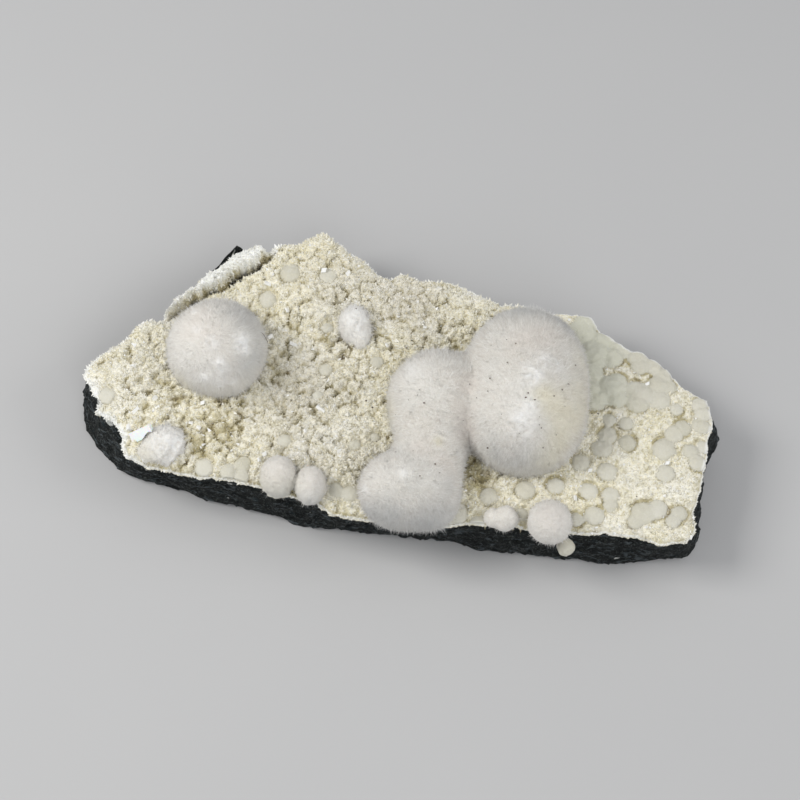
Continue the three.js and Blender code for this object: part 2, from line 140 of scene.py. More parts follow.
OKENITE_PLACES = {  # places of the okenite that look different: x, y, z, reach, strength
    "bright": [  # matted white tufts
        (32.8, -0.4, 34.1, 1.7, 1.6), (30.7, -4.3, 35.9, 1.8, 1.0), (34.8, -1.2, 33.7, 1.4, 1.3),
        (28.5, -1.9, 35.4, 1.0, 0.8), (29.5, -5.8, 36.1, 1.8, 0.7), (29.4, -11.9, 35.3, 2.0, 0.7),
        (28.2, -15.8, 33.1, 3.4, 0.7), (26.7, -14.1, 34.1, 1.6, 0.6), (-36.4, 8.7, 29, 1.9, 1.6),
        (-35.5, 7, 27.3, 1.1, 0.9), (-41.4, 3.1, 27.5, 1.2, 1.0), (-40.7, 2.2, 26.2, 1.2, 1.0),
        (-38.8, 1.2, 22.4, 1.1, 0.8), (-42.3, 3.7, 28.3, 1.3, 0.7), (-48.5, 16.7, 29.9, 1.0, 0.9),
        (-47.3, 11.1, 31.2, 1.2, 0.7), (-43.6, 7.1, 30.7, 1.6, 0.6), (-8.4, -27.5, 23.9, 1.2, 0.9),
        (0.9, -25.6, 28.4, 1.3, 0.6), (2.8, 0.5, 30.8, 2.6, 0.4), (-10.7, 19.5, 21, 6, 0.6),
        (-53.5, -13, 20, 4.5, 1.0), (-42.5, 0.9, 23.5, 1.6, 0.9), (-45.5, 1.5, 24.5, 1.2, 0.6),
        (-38, -0.3, 19, 1.5, 0.6),
    ],
    "pale": [  # denser and whiter; partly painted light on the left puffball's left side and underside
        (-49.5, 7.5, 28, 9, 1.0), (-54.5, -11.5, 19, 5, 0.8), (1, -1, 30, 7, 0.4), (24, -10, 35, 7, 0.4),
        (-10.7, 19, 20, 8, 1.6), (-28, -20, 22, 3, 0.3), (-4, -24, 27, 5, 0.3), (-43.4, 0.8, 20, 6.5, 1.0),
        (-33, 7, 19, 6, 0.6),
    ],
    "stain": [  # yellowish
        (32.8, -9.8, 35.3, 3, 0.5), (36.3, -10.2, 33.7, 4, 0.45), (39.9, -12.4, 29.4, 5.5, 0.6),
        (42.4, -5.8, 27.1, 5, 0.5), (36.9, -17.1, 28.4, 4, 0.5), (34.3, -20.3, 23.9, 4, 0.5),
        (42, 3, 27, 5, 0.4), (8.5, -16.8, 27, 1.1, 1.0), (-2.5, 5, 22, 3.5, 0.6), (-2.8, -5, 21, 3.5, 0.6),
        (1, 8, 25, 3, 0.4), (-55, 14, 18, 3, 0.5), (-52, 3, 18, 3.5, 0.5), (-57.5, -14, 17, 3, 0.6),
        (-28, -25, 16, 4.5, 0.8), (-32, -21, 17, 2.5, 0.6),
    ],
    "blush": [  # beige with a trace of pink
        (-47.8, 13.5, 31, 4.5, 0.6), (33.4, 6.7, 35.3, 5, 0.5), (27.6, 5.2, 35.6, 4, 0.4),
        (15.4, -4.1, 31, 2.2, 0.8), (14.4, -9.6, 29, 2.2, 0.7), (15, -12.4, 24.6, 3, 0.9),
        (10.2, -22.7, 26.8, 3, 0.4), (4.6, -18.6, 27, 2.5, 0.5), (-43.6, 9, 31.5, 3.5, 0.3),
        (-28, -21, 20, 3.5, 0.6), (34, -33, 23, 4, 0.7), (-20, -23, 21, 3, 0.5),
    ],
    "painted_shade": [  # bluish grey painted shade on the balls' undersides and shaded sides, and a little on the small front balls
        (-36.4, 16.1, 28.9, 4, 0.7), (-34.6, 5.2, 24.5, 3.5, 0.8), (-33, 9, 22, 3.5, 0.4),
        (27.8, 16.5, 31, 4.5, 1.0), (37.2, 15, 29, 4, 1.0), (26.2, -20.9, 25, 5.5, 0.3),
        (21.7, -19.2, 25.2, 3, 0.3), (-3.4, -33, 21.5, 4, 1.4), (6.8, -33.6, 19.9, 5, 1.4),
        (-7.3, -31.8, 19.6, 3, 0.9), (11.3, -27.2, 25.7, 2.5, 0.3), (-20.5, -27, 16, 3, 0.5),
        (-28, -26, 16, 4, 0.9), (-28, -20.5, 21, 4, 0.2), (-20.6, -23, 20, 3, 0.15), (34, -33, 22, 4, 0.25),
        (1, -26, 28, 7, 0.12),
    ],
}
GYROLITE_FRONT = (38, -36.2, 12.2, 2.1)
GYROLITE = [  # x, y, radius
    # the field on the right, from the back
    (48, 16, 2.6), (50.5, 11.5, 2.6), (46, 9, 1.9), (57, 9, 2.1), (45, 7, 3.1), (51.5, 5, 2.1),
    (61, 4, 2.4), (55.5, 3, 2.1), (63.5, 3.5, 1.9), (46, 0.5, 3.5), (51, 0.5, 2.6), (56, -1, 2.6),
    (61, 0, 2.6), (65, -2.5, 1.6), (46.5, 12.5, 3.8), (43.5, 18.5, 3.4), (45, 2, 3.3), (50, 3, 3.1),
    (57, 1.5, 3.0), (54.5, 13, 1.8),
    # along the edge there
    (44.5, 21, 2.8), (49.5, 16.5, 2.3), (52, 14, 2.2), (56.5, 11.5, 2.4), (60, 9, 2.2), (62.5, 6.5, 2),
    (71, -3.5, 2), (67.5, -13.5, 1.8), (70.5, -1, 1.9), (49, -5.5, 1.6), (53, -6.5, 1.6), (66, -7.5, 2),
    (64, -9, 2.1), (70.5, -6.5, 2.1), (48.5, -9.5, 2.1), (53, -11.5, 2.1), (47, -13, 2.4), (61.5, -13, 2.7),
    (70.5, -12, 1.6), (69, -16.5, 1.9), (42, -16.5, 2.1), (48, -19, 2.3), (61.5, -19.5, 2.1),
    (36, -22.5, 2.1), (29, -23.5, 2.4), (43.5, -24, 2.1), (48.5, -25, 2), (48.5, -27.5, 1.8),
    (44.5, -30, 2.2), (56, -29.5, 2.8), (59, -28.5, 2.3), (54, -31.5, 1.8), (64, -29.5, 1.8),
    (62.5, -31.5, 1.6), (40.5, -31, 1.6), (28, -29.5, 1.6),
    # beside the lower front puffball
    (20.5, -25, 2.3), (13, -29, 2.5), (10.5, -30.5, 1.8), (18, -31.2, 1.8), (-15, -23.5, 2.1),
    (-11.5, -24.5, 2),
    # the left half
    (-40, -18, 2), (-36.5, -16.5, 1.9), (-36.5, -19.5, 1.6), (-45.5, -17, 2.3), (-27, -10, 1.9),
    (-10.5, -11.5, 1.5), (-6, -9.5, 1.2), (-69, 1.5, 2.1), (-26.5, 35, 2.7), (-32, 28.5, 2.2),
    (-17.5, 34, 2.1), (-17.5, 20.5, 1.6), (-17.5, 9.5, 1.8), (-5.5, 11, 1.7), (-19.5, 2.5, 1.4),
]
GYROLITE_SPREAD = 1.15  # a gyrolite ball's radius at its middle to that of the part seen
GYROLITE_HEIGHT = 0.55  # its half height to that radius
GYROLITE_SUNK = 0.22  # how deep its middle lies in the crust, to that radius
GYROLITE_BARE = 0.86  # share of that radius within which no crystals stand
GYROLITE_SPACING = 0.32  # of its mesh
OLIVE = [  # dark olive places of the crust, partly its colour and partly painted shade beside and between the puffballs: x, y, reach, strength
    (16, -19.5, 3.2, 1), (16.5, -16, 2, 1), (18, -22.5, 2, 0.8), (-48.5, -11.5, 3, 0.45),
    (-45.5, -13.5, 2.2, 0.4), (-55.5, 4.5, 1.8, 0.6), (-53, 0.5, 2.4, 0.5), (-25.5, 21.5, 2, 0.6),
    (-41.5, -0.5, 3, 0.4), (-29.5, 11, 4, 0.5), (-6, 18.5, 2.5, 0.5), (-10.5, 4, 2, 0.5),
    (-24, 31.5, 1.6, 0.5), (-18, 17, 1.4, 0.9), (-12, 14.5, 1.4, 0.6), (13, 15.5, 3, 0.5),
    (1, 21, 2.5, 0.3), (-42, -7.5, 6, 0.8), (3, 27, 5, 0.3), (12, -18, 3, 0.8), (19, -19, 3, 0.8),
    (45, -3.5, 1.2, 1), (-60, -2, 1.5, 0.6), (-56, -6, 1.5, 0.6), (-29, 33, 2, 0.5), (-22, 28, 2, 0.4),
]
WHITE = [  # white places of the crust: x, y, reach, strength
    (55.5, -21, 3.5, 0.7), (63.5, -23.5, 3, 0.6), (55, -33, 3, 0.5), (48, -33, 3, 0.6), (-73, 4.5, 2, 0.8),
    (-56, 23, 2.5, 0.8), (-52.5, 25.3, 1.8, 0.6), (-49, 27, 1.5, 0.5), (-12, 27.5, 2.5, 0.4),
    (-14, -7.5, 4, 0.5), (-23.5, -12.5, 4, 0.3), (17, 29, 3.5, 0.6), (51, -14, 2, 0.4),
]
GREY = [  # greyish places of the crust; the large one right of the left puffball is partly painted shade: x, y, reach, strength
    (-24, 4, 12, 1), (-14, 30, 9, 0.7), (3, 27, 9, 1), (-24, -16, 7, 0.6), (-10, -16, 8, 0.5),
]
CALCITE_BITS = [  # small calcite crystals on the crust: x, y, length, width
    (-63, -7.5, 1.5, 1.3), (-62, -3.5, 1.9, 0.7), (-57.5, 0, 1.2, 0.8), (-57, -3, 1.2, 0.8),
    (-46.5, -1, 1.0, 0.8), (-47, -7.5, 1.2, 0.8), (-18.5, -1.5, 2.5, 1.0), (-32, 32, 1.6, 0.8),
    (-12.5, 34, 1.2, 0.9), (-25.5, 16, 2.0, 0.8), (-31, 17.5, 1.4, 0.7), (-27, 24.5, 1.2, 0.7),
    (-18.5, 35, 1.2, 0.9), (58.5, 4, 1.0, 0.7), (40.5, -26, 1.2, 0.7), (-31.5, -14.5, 1.0, 0.8),
    (-32.5, -16, 0.9, 0.7), (-49, -6, 1.0, 0.7), (62, -17, 0.9, 0.6), (44, -19, 0.9, 0.6),
    (-8, 24, 0.9, 0.7), (-3, 15, 0.9, 0.6), (6, 20, 0.9, 0.6), (-22, -8, 1.0, 0.7), (-14, -14, 0.9, 0.7),
]
SPECKS = [  # dark grains that lie on the specimen
    # on the large puffballs
    (21, 5), (24.5, 5.5), (26.5, 4), (20.5, -4), (16, -4), (38.5, -5), (37, -7), (28.5, -10), (29, -9),
    (30.5, -10.5), (35, -9), (37.5, -10.5), (31.5, -14), (31.5, -15.5), (32, -16), (35.5, -16.5), (27, -17),
    (23, -13), (20, -17.5), (32.5, -19), (41, -15), (42, -13), (14.5, -11.5), (17.5, -7.5), (20, -7),
    (4.5, -5.5), (2, -7), (5.5, -8.5), (4, -6.5), (-1, -8.5), (-2, -11.5), (-1, -19), (3, -22),
    (4.5, -26.5), (8, -23), (9, -25), (3, -19.5), (24.5, -1), (40.5, 1),
    # on the crust
    (1.5, 14), (3, 15), (-1, 11.5), (-4, 13), (-7, 7), (-6.5, -2), (-4.5, -3.5), (-5.5, -10.5), (-8, 0),
    (16, 20.5), (45, -4), (46.5, -4), (59.5, -2), (54.5, -25.5), (49.5, 6), (-55.5, 12.5), (-10.5, 22.5),
    (-57, -6.5), (-44, -8),
]
SPECK_RADIUS = 0.08
HAIR = [  # points along the dark hair on the left puffball
    (-32.7, 13.5, 25.6), (-32.1, 13.7, 24.3), (-31.7, 13.4, 23.2), (-31.3, 13.3, 21.5), (-31.1, 12.9, 20.8),
]
CRUST_HEIGHT = 16.0
RIM_DROP = 1.2  # how far the crust's top falls at its edge
RIM_REACH = 1.6  # how far from the edge that begins
CRUST_FLOOR = 12.9  # the crust's top never lies lower
CRUST_BED = 12.0  # height of its flat hidden underside
CRUST_WALL = [  # the crust's broken edge: share of its height, how far out, how white, how brown
    (0.1, 0.12, 0.6, 0.1), (0.22, 0.05, 0.5, 0.2), (0.35, -0.15, 0.3, 0.45), (0.5, -0.5, 0.1, 0.6),
    (0.7, -1.0, 0, 0.8), (1, -1.5, 0, 1),
]
ROCK_INSET = 0.45  # how far the rock's top lies inside the crust's edge
EDGE_RAG = 0.42  # how far the crust's broken edge strays from its outline

# The CAD ball's box says where the survey's plan lies in the row frame.
left_low, left_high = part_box("okenite_ball_left")
left_ball = PUFFBALLS["okenite_ball_left"][0]
SURVEY_SHIFT = np.array([(left_low[k] + left_high[k]) / 2 / MM - left_ball[k] for k in (0, 1)] + [0.0])


# ---- Numbers that depend only on a place ----

def chance(i, j, k=0, seed=0):
    """A repeatable number from 0 to 1 for each set of whole numbers."""
    i, j, k = (np.asarray(n, np.int64) for n in (i, j, k))
    h = (i * 374761393 + j * 668265263 + k * 1442695041 + seed * 979367) & 0xFFFFFFFF
    h = ((h ^ (h >> 13)) * 1274126177) & 0xFFFFFFFF
    return (h ^ (h >> 16)) / 4294967296.0


def noise(points, size, seed=0):
    """Smooth noise from 0 to 1 whose bumps are about size apart."""
    place = points / size
    base = np.floor(place).astype(np.int64)
    part = place - base
    part = part * part * (3 - 2 * part)
    total = np.zeros(len(points))
    for corner in np.ndindex(2, 2, 2):
        weight = np.prod(np.where(corner, part, 1 - part), axis=1)
        total += weight * chance(*(base + corner).T, seed=seed)
    return total


def fractal(points, size, octaves, seed=0):
    """Noise from 0 to 1 with detail at each octave."""
    total, weight = 0.0, 0.0
    for octave in range(octaves):
        share = 0.5 ** octave
        total = total + share * noise(points, size * share, seed + octave)
        weight += share
    return total / weight


def flat_noise(x, y, size, seed, octaves=1):
    """Noise over the plan, from 0 to 1."""
    points = np.column_stack([np.ravel(x), np.ravel(y), np.zeros(np.size(x))])
    return fractal(points, size, octaves, seed).reshape(np.shape(x))


def cells(x, y, size, seed=0):
    """Distances to the nearest two points of a jittered grid, and the nearest one's cell and place."""
    start_i, start_j = (np.floor(values / size).astype(np.int64) for values in (x, y))
    first = second = np.full(x.shape, FAR)
    nearest = [np.zeros(x.shape, kind) for kind in (np.int64, np.int64, float, float)]
    for di, dj in np.ndindex(3, 3):
        i, j = start_i + di - 1, start_j + dj - 1
        px = (i + chance(i, j, seed=seed)) * size
        py = (j + chance(i + 57, j - 31, seed=seed)) * size
        distance = np.hypot(x - px, y - py)
        closer = distance < first
        second = np.where(closer, first, np.minimum(second, distance))
        first = np.where(closer, distance, first)
        nearest = [np.where(closer, new, old) for new, old in zip((i, j, px, py), nearest)]
    return first, second, nearest


def dome(distance, size):
    """A round-topped lump: 1 at its middle, and 0 from size on."""
    return np.sqrt(np.maximum(0, 1 - (distance / size) ** 2))


def clumps(x, y, size, seed, uneven=0.0):
    """Domed clumps that stand at uneven heights, with narrow gaps between them."""
    near, _, (i, j, _, _) = cells(x, y, size, seed)
    return dome(near, size) - 0.6 + uneven * (chance(i, j, seed=seed + 9) - 0.5)


def smooth_step(low, high, value):
    t = np.clip((value - low) / (high - low), 0, 1)
    return t * t * (3 - 2 * t)


# ---- The crust's surface ----

def to_line(x, y, line, closed):
    """Distance to a line, how far along it the nearest point lies, that point, and if it's on the left."""
    following = np.roll(line, -1, axis=0) if closed else line[1:]
    nearest = [np.full(x.shape, FAR)] + [np.zeros(x.shape) for _ in range(4)]
    walked = 0.0
    for (ax, ay), (bx, by) in zip(line, following):
        dx, dy = bx - ax, by - ay
        length = math.hypot(dx, dy)
        t = np.clip(((x - ax) * dx + (y - ay) * dy) / length ** 2, 0, 1)
        qx, qy = ax + t * dx, ay + t * dy
        side = dx * (y - ay) - dy * (x - ax)
        here = (np.hypot(x - qx, y - qy), walked + t * length, qx, qy, side)
        closer = here[0] < nearest[0]
        nearest = [np.where(closer, new, old) for new, old in zip(here, nearest)]
        walked += length
    return (*nearest[:4], nearest[4] > 0)


def inside_edge(x, y):
    """Whether a point is inside the crust's edge, by counting the edge's sides to its right."""
    inside = np.zeros(x.shape, bool)
    for (ax, ay), (bx, by) in zip(CRUST_EDGE, np.roll(CRUST_EDGE, -1, axis=0)):
        if ay == by:
            continue
        crosses = (ay > y) != (by > y)
        inside ^= crosses & (x < ax + (y - ay) * (bx - ax) / (by - ay))
    return inside


def edge_depth(x, y):
    """How far inside the crust's ragged edge a point is, and the direction out of the crust there."""
    distance, _, near_x, near_y, _ = to_line(x, y, CRUST_EDGE, True)
    sign = np.where(inside_edge(x, y), 1.0, -1.0)
    away = np.maximum(distance, 1e-6)
    rag = (flat_noise(x, y, 2.6, 11, 3) - 0.5) * 2 * EDGE_RAG
    return sign * distance + rag, sign * (near_x - x) / away, sign * (near_y - y) / away


def mounds(places, x, y, steep=1.0):
    """The sum of round mounds, each of them an x, y, reach and height."""
    return sum(
        high * np.exp(-steep * ((x - px) ** 2 + (y - py) ** 2) / reach ** 2)
        for px, py, reach, high in places)


def swell(x, y):
    """The crust's broad swells."""
    return mounds(SWELLS, x, y, 0.5)


def spots(places, x, y):
    """How strongly any of some round places covers each point, from 0 to 1."""
    return np.clip(mounds(places, x, y), 0, 1)


LIP_RISE = 3.3
CREVICE_DEPTH = 4.6
CREVICE_WIDTH = 0.8


def lip_profile(x, y, depth):
    """The lip at the back left: its rise, the crevice's depth, how far out each place is, the lip's comb."""
    distance, along, _, _, outside = to_line(x, y, CREVICE, False)
    wander = (flat_noise(x, y, 2.2, 23) + 0.8 * flat_noise(x, y, 0.9, 25) - 0.9) * 1.4
    out = np.where(outside, distance, -distance) + wander
    length = np.hypot(*np.diff(CREVICE, axis=0).T).sum()
    ends = smooth_step(-0.5, 2.5, along) * smooth_step(-0.5, 1.5, length - along) * (distance < 7)
    open_crack = 0.22 + 0.78 * spots(CRACKS, x, y)
    crevice = CREVICE_DEPTH * np.exp(-((out / CREVICE_WIDTH) ** 2)) * ends * open_crack
    comb = flat_noise(along, 0.3 * out, 0.75, 47) - 0.5
    teeth = 1.5 * clumps(x, y, 1.7, 45) + 1.6 * comb * smooth_step(2.5, 0.8, np.abs(out - 0.6))
    lip = (LIP_RISE + teeth) * smooth_step(0.2, 1.5, out) * (0.85 + 0.15 * smooth_step(0, 1.2, depth)) * ends
    return lip, crevice, out, comb


LARGE_LUMP = 5
CLUMP = 3.0
SMALL_CLUMP = 1.5
CRYSTAL_CLUMP = 0.75


def crust_surface(x, y):
    """The crust's height, and how far inside its edge each place is."""
    depth, _, _ = edge_depth(x, y)
    rim = np.exp(-np.maximum(depth, 0) / RIM_REACH)
    lip, crevice, _, _ = lip_profile(x, y, depth)
    warp_x = x + 1.3 * (flat_noise(x, y, 1.5, 13) - 0.5)
    warp_y = y + 1.3 * (flat_noise(x, y, 1.5, 17) - 0.5)
    calm = smooth_step(16, 40, x)  # the field of gyrolite balls is smoother
    pits = smooth_step(0.55, 0.75, flat_noise(warp_x, warp_y, 3.4, 19, 3))
    near, next_near, _ = cells(warp_x, warp_y, CLUMP, 3)
    gaps = smooth_step(0.9, 0.1, next_near - near) * smooth_step(0.45, 0.65, flat_noise(x, y, 5, 29))
    large = 1.5 * clumps(x, y, LARGE_LUMP, 0) * (1 - 0.7 * calm)
    middle = (1.7 - 1.3 * calm) * clumps(warp_x, warp_y, CLUMP, 3, 0.55)
    middle = middle - (1.3 - 0.9 * calm) * pits - (0.5 - 0.35 * calm) * gaps
    small = (0.6 - 0.2 * calm) * clumps(warp_x, warp_y, SMALL_CLUMP, 5, 0.5)
    small = small + 0.35 * clumps(x, y, CRYSTAL_CLUMP, 7, 0.6)
    relief = (large + middle) * (1 - rim) * (1 - 0.7 * np.clip(lip, 0, 1)) + small
    ground = CRUST_HEIGHT + swell(x, y)
    height = ground + relief + lip - crevice - RIM_DROP * rim * (1 - np.clip(lip / 2, 0, 1))
    lowest = CRUST_FLOOR + 0.5 * flat_noise(x, y, 0.8, 37)
    height = lowest + np.log1p(np.exp((height - lowest) * 3)) / 3
    calm_level = ground - RIM_DROP * rim
    for gx, gy, radius in GYROLITE:
        ring = np.hypot(x - gx, y - gy) - radius
        seat = smooth_step(1.0, 0.1, ring)
        height = height * (1 - seat) + (calm_level - 0.1 + 0.25 * (height - calm_level)) * seat
    return height, depth


GRID = 0.32  # spacing of the crust's mesh
PLAN_LOW = (-78.0, -40.0)
PLAN_SIZE = (154.0, 91.0)
grid_lines = [low + GRID * np.arange(round(size / GRID) + 1) for low, size in zip(PLAN_LOW, PLAN_SIZE)]
grid_x, grid_y = np.meshgrid(*grid_lines, indexing="ij")
crust_z, crust_depth = crust_surface(grid_x, grid_y)


def blurred(grid, reach):
    """The grid, averaged over about reach mm."""
    half = int(3 * reach / GRID)
    kernel = np.exp(-0.5 * (np.arange(-half, half + 1) * GRID / reach) ** 2)
    kernel /= kernel.sum()
    for axis in (0, 1):
        padded = np.pad(grid, [(half, half) if a == axis else (0, 0) for a in (0, 1)], mode="edge")
        grid = np.apply_along_axis(lambda line: np.convolve(line, kernel, "valid"), axis, padded)
    return grid


# Where the crystals stand deep, the crust is painted olive and brown, partly its colour and partly painted
# shade.
olive_and_shade = np.clip((blurred(crust_z, 1.0) - crust_z) / 1.1 + 0.1, 0, 1)  # how deep between the crystals
level = blurred(crust_z, 2.0)


def sample(grid, x, y):
    """A grid's value at any place, read between its points."""
    u = np.clip((x - PLAN_LOW[0]) / GRID, 0, grid.shape[0] - 1.001)
    v = np.clip((y - PLAN_LOW[1]) / GRID, 0, grid.shape[1] - 1.001)
    i, j = u.astype(int), v.astype(int)
    u, v = u - i, v - j
    return (grid[i, j] * (1 - u) * (1 - v) + grid[i + 1, j] * u * (1 - v)
            + grid[i, j + 1] * (1 - u) * v + grid[i + 1, j + 1] * u * v)


# ---- Meshes ----

def new_object(name, data):
    """An object in the scene that holds a mesh, light or camera."""
    made = bpy.data.objects.new(name, data)
    bpy.context.scene.collection.objects.link(made)
    return made


def make_piece(name, vertices, faces, material, slot, replaced=(), smooth=True, **values):
    """A mesh piece from arrays in the survey's mm. The faces are arrays of faces, or single long faces."""
    mesh = bpy.data.meshes.new(name)
    corners = [np.asarray(group, np.int32) for group in faces]
    loops = np.concatenate([group.ravel() for group in corners])
    sizes = np.concatenate([
        np.full(len(group), group.shape[1]) if group.ndim == 2 else [len(group)] for group in corners])
    mesh.vertices.add(len(vertices))
    mesh.vertices.foreach_set("co", ((vertices + SURVEY_SHIFT) * MM).astype(np.float32).ravel())
    mesh.loops.add(len(loops))
    mesh.loops.foreach_set("vertex_index", loops)
    mesh.polygons.add(len(sizes))
    mesh.polygons.foreach_set("loop_start", np.concatenate([[0], np.cumsum(sizes)[:-1]]).astype(np.int32))
    mesh.polygons.foreach_set("use_smooth", np.full(len(sizes), smooth))
    mesh.update(calc_edges=True)
    for key, numbers in values.items():
        mesh.attributes.new(key, "FLOAT", "POINT").data.foreach_set("value", numbers.astype(np.float32))
    mesh.materials.append(material)
    piece = new_object(name, mesh)
    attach(piece, "root")
    if replaced:
        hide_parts(*replaced)
    return piece


def joined(bodies, faces):
    """The points and faces of several bodies that have the same faces."""
    shifted = [faces + number * len(body) for number, body in enumerate(bodies)]
    return np.concatenate(bodies), np.concatenate(shifted)


def arrays_of(shape):
    """A bmesh's points, the directions out at them, and its triangles. Frees the bmesh."""
    points, out = (np.array([getattr(vertex, key)[:] for vertex in shape.verts]) for key in ("co", "normal"))
    triangles = np.array([[vertex.index for vertex in face.verts] for face in shape.faces])
    shape.free()
    return points, out, triangles


def ball_mesh(subdivisions):
    """A unit ball's points and triangles."""
    shape = bmesh.new()
    bmesh.ops.create_icosphere(shape, subdivisions=subdivisions, radius=1.0)
    points, _, triangles = arrays_of(shape)
    return points, triangles


def unit_length(arrows):
    """Arrows with the same directions and a length of 1."""
    return arrows / np.maximum(np.linalg.norm(arrows, axis=1, keepdims=True), 1e-9)


def turned_frames(axis):
    """Two directions at right angles to each axis."""
    helper = np.where(np.abs(axis[:, 2:3]) < 0.9, UP, np.array([1.0, 0.0, 0.0]))
    first = unit_length(np.cross(axis, helper))
    return first, np.cross(axis, first)


def vertex_normals(vertices, quads):
    """Directions out of a surface at its vertices."""
    a, b, c, d = (vertices[quads[:, k]] for k in range(4))
    across = np.cross(c - a, d - b)
    normals = np.zeros_like(vertices)
    for k in range(4):
        np.add.at(normals, quads[:, k], across)
    return unit_length(normals)


def scatter(vertices, quads, per_mm2, rng):
    """Random places on a surface: the quad of each, and the weights of that quad's four corners."""
    a, b, c, d = (vertices[quads[:, k]] for k in range(4))
    area = np.linalg.norm(np.cross(c - a, d - b), axis=1) / 2
    expected = area * per_mm2
    count = np.floor(expected).astype(int) + (rng.random(len(quads)) < expected % 1)
    quad = np.repeat(np.arange(len(quads)), count)
    u, v = rng.random(len(quad)), rng.random(len(quad))
    weights = np.stack([(1 - u) * (1 - v), u * (1 - v), u * v, (1 - u) * v], axis=1)
    return quad, weights


def at(values, quads, quad, weights):
    """Values of a surface's vertices, at scattered places."""
    corners = values[quads[quad]]
    if corners.ndim == 3:
        return np.einsum("ij,ijk->ik", weights, corners)
    return np.einsum("ij,ij->i", weights, corners)


def spikes(base, tip, width, sides, turn):
    """Closed pointed bodies: a ring of corners at the base and one at the tip."""
    first, second = turned_frames(unit_length(tip - base))
    corners = []
    for k in range(sides):
        angle = (turn + 2 * math.pi * k / sides)[:, None]
        corners.append(base + width[:, None] * (np.cos(angle) * first + np.sin(angle) * second))
    start = (sides + 1) * np.arange(len(base))
    faces = [np.stack([start + k, start + (k + 1) % sides, start + sides], axis=1) for k in range(sides)]
    bottom = np.stack([start + k for k in range(sides)][::-1], axis=1)
    return np.stack([*corners, tip], axis=1).reshape(-1, 3), [np.concatenate(faces), bottom]


def even_surface(name, vertices, triangles, spacing):
    """The outer surface of closed bodies that may overlap, as an even mesh of quads."""
    mesh = bpy.data.meshes.new(name)
    mesh.from_pydata(vertices.tolist(), [], triangles.tolist())
    body = new_object(name, mesh)
    remesh = body.modifiers.new("even", "REMESH")
    remesh.mode = "VOXEL"
    remesh.voxel_size = spacing
    made = bpy.data.meshes.new_from_object(body.evaluated_get(bpy.context.evaluated_depsgraph_get()))
    bpy.data.objects.remove(body)
    points = np.zeros(3 * len(made.vertices))
    made.vertices.foreach_get("co", points)
    quads = np.zeros(4 * len(made.polygons), int)
    made.polygons.foreach_get("vertices", quads)
    bpy.data.meshes.remove(made)
    return points.reshape(-1, 3), quads.reshape(-1, 4)


# ---- Materials ----

class Look:
    """A Principled material whose colour is laid on in layers. Its noises are measured in mm."""

    def __init__(self, name, **even_values):
        self.material = bpy.data.materials.new(name)
        self.material.use_nodes = True
        self.tree = self.material.node_tree
        self.shader = self.tree.nodes["Principled BSDF"]
        for key, value in even_values.items():
            self.shader.inputs[key.replace("_", " ")].default_value = value
        place = self.node("TexCoord").outputs["Object"]
        self.place = self.node("VectorMath", {0: place, "Scale": 1 / MM}, operation="SCALE").outputs[0]
        self.color = None

    def node(self, kind, inputs=(), **settings):
        """A node with its settings, whose inputs are values or other nodes' outputs."""
        node = self.tree.nodes.new("ShaderNode" + kind)
        for key, value in settings.items():
            setattr(node, key, value)
        for key, value in dict(inputs).items():
            if isinstance(value, bpy.types.NodeSocket):
                self.tree.links.new(value, node.inputs[key])
            else:
                node.inputs[key].default_value = value
        return node

    def drive(self, key, value):
        self.tree.links.new(value, self.shader.inputs[key])

    def noise(self, per_mm, detail, roughness, distortion=0.0, place=None):
        return self.node("TexNoise", {
            "Vector": self.place if place is None else place, "Scale": per_mm, "Detail": detail,
            "Roughness": roughness, "Distortion": distortion,
        }).outputs["Fac"]

    def ramp(self, value, low, high):
        """0 at low and before it, 1 at high and beyond."""
        return self.node("MapRange", {"Value": value, "From Min": low, "From Max": high}).outputs[0]

    def patches(self, per_mm, detail, roughness, low, high):
        return self.ramp(self.noise(per_mm, detail, roughness), low, high)

    def attribute(self, name):
        return self.node("Attribute", attribute_name=name).outputs["Fac"]

    def math(self, operation, a, b):
        return self.node("Math", {0: a, 1: b}, operation=operation).outputs[0]

    def blend(self, share, a, b):
        """Sets the colour to a mixture of two."""
        node = self.node("Mix", data_type="RGBA")
        for socket, value in zip((node.inputs[0], node.inputs[6], node.inputs[7]), (share, a, b)):
            if isinstance(value, bpy.types.NodeSocket):
                self.tree.links.new(value, socket)
            else:
                socket.default_value = (*value, 1)
        self.color = node.outputs[2]
        self.drive("Base Color", self.color)

    def tint(self, mask, strength, color):
        """Lays a colour over the rest where the mask is."""
        self.blend(self.math("MULTIPLY", mask, strength), self.color, color)

    def bump(self, height, depth):
        node = self.node("Bump", {"Height": height, "Strength": 1.0, "Distance": depth * MM})
        self.drive("Normal", node.outputs[0])


def basalt_material():
    look = Look("basalt", Specular_IOR_Level=0.22)
    look.blend(look.patches(0.22, 5, 0.6, 0.35, 0.68), (0.006, 0.008, 0.008), (0.016, 0.019, 0.019))
    layered = look.node("VectorMath", {0: look.place, 1: (0.35, 0.35, 1.2)}, operation="MULTIPLY").outputs[0]
    streaks = look.noise(1.0, 3, 0.6, 0.6, layered)
    look.tint(look.ramp(streaks, 0.50, 0.58), 0.6, (0.028, 0.033, 0.035))
    look.tint(look.ramp(streaks, 0.56, 0.63), 0.8, (0.11, 0.13, 0.14))
    grains = look.patches(1.4, 3, 0.6, 0.54, 0.64)
    look.tint(grains, 0.6, (0.045, 0.05, 0.043))
    look.tint(look.patches(0.5, 3, 0.5, 0.60, 0.75), 0.4, (0.014, 0.035, 0.045))  # bluish
    look.tint(look.patches(2.3, 2, 0.5, 0.60, 0.67), 0.6, (0.13, 0.145, 0.14))  # pale flecks
    look.tint(look.ramp(look.attribute("chalk"), 0.45, 0.75), 1.0, (0.72, 0.73, 0.7))
    look.drive("Roughness", look.ramp(grains, 1.6, -0.6))
    look.bump(look.math("ADD", look.noise(1.8, 6, 0.75), streaks), 0.9)
    return look.material


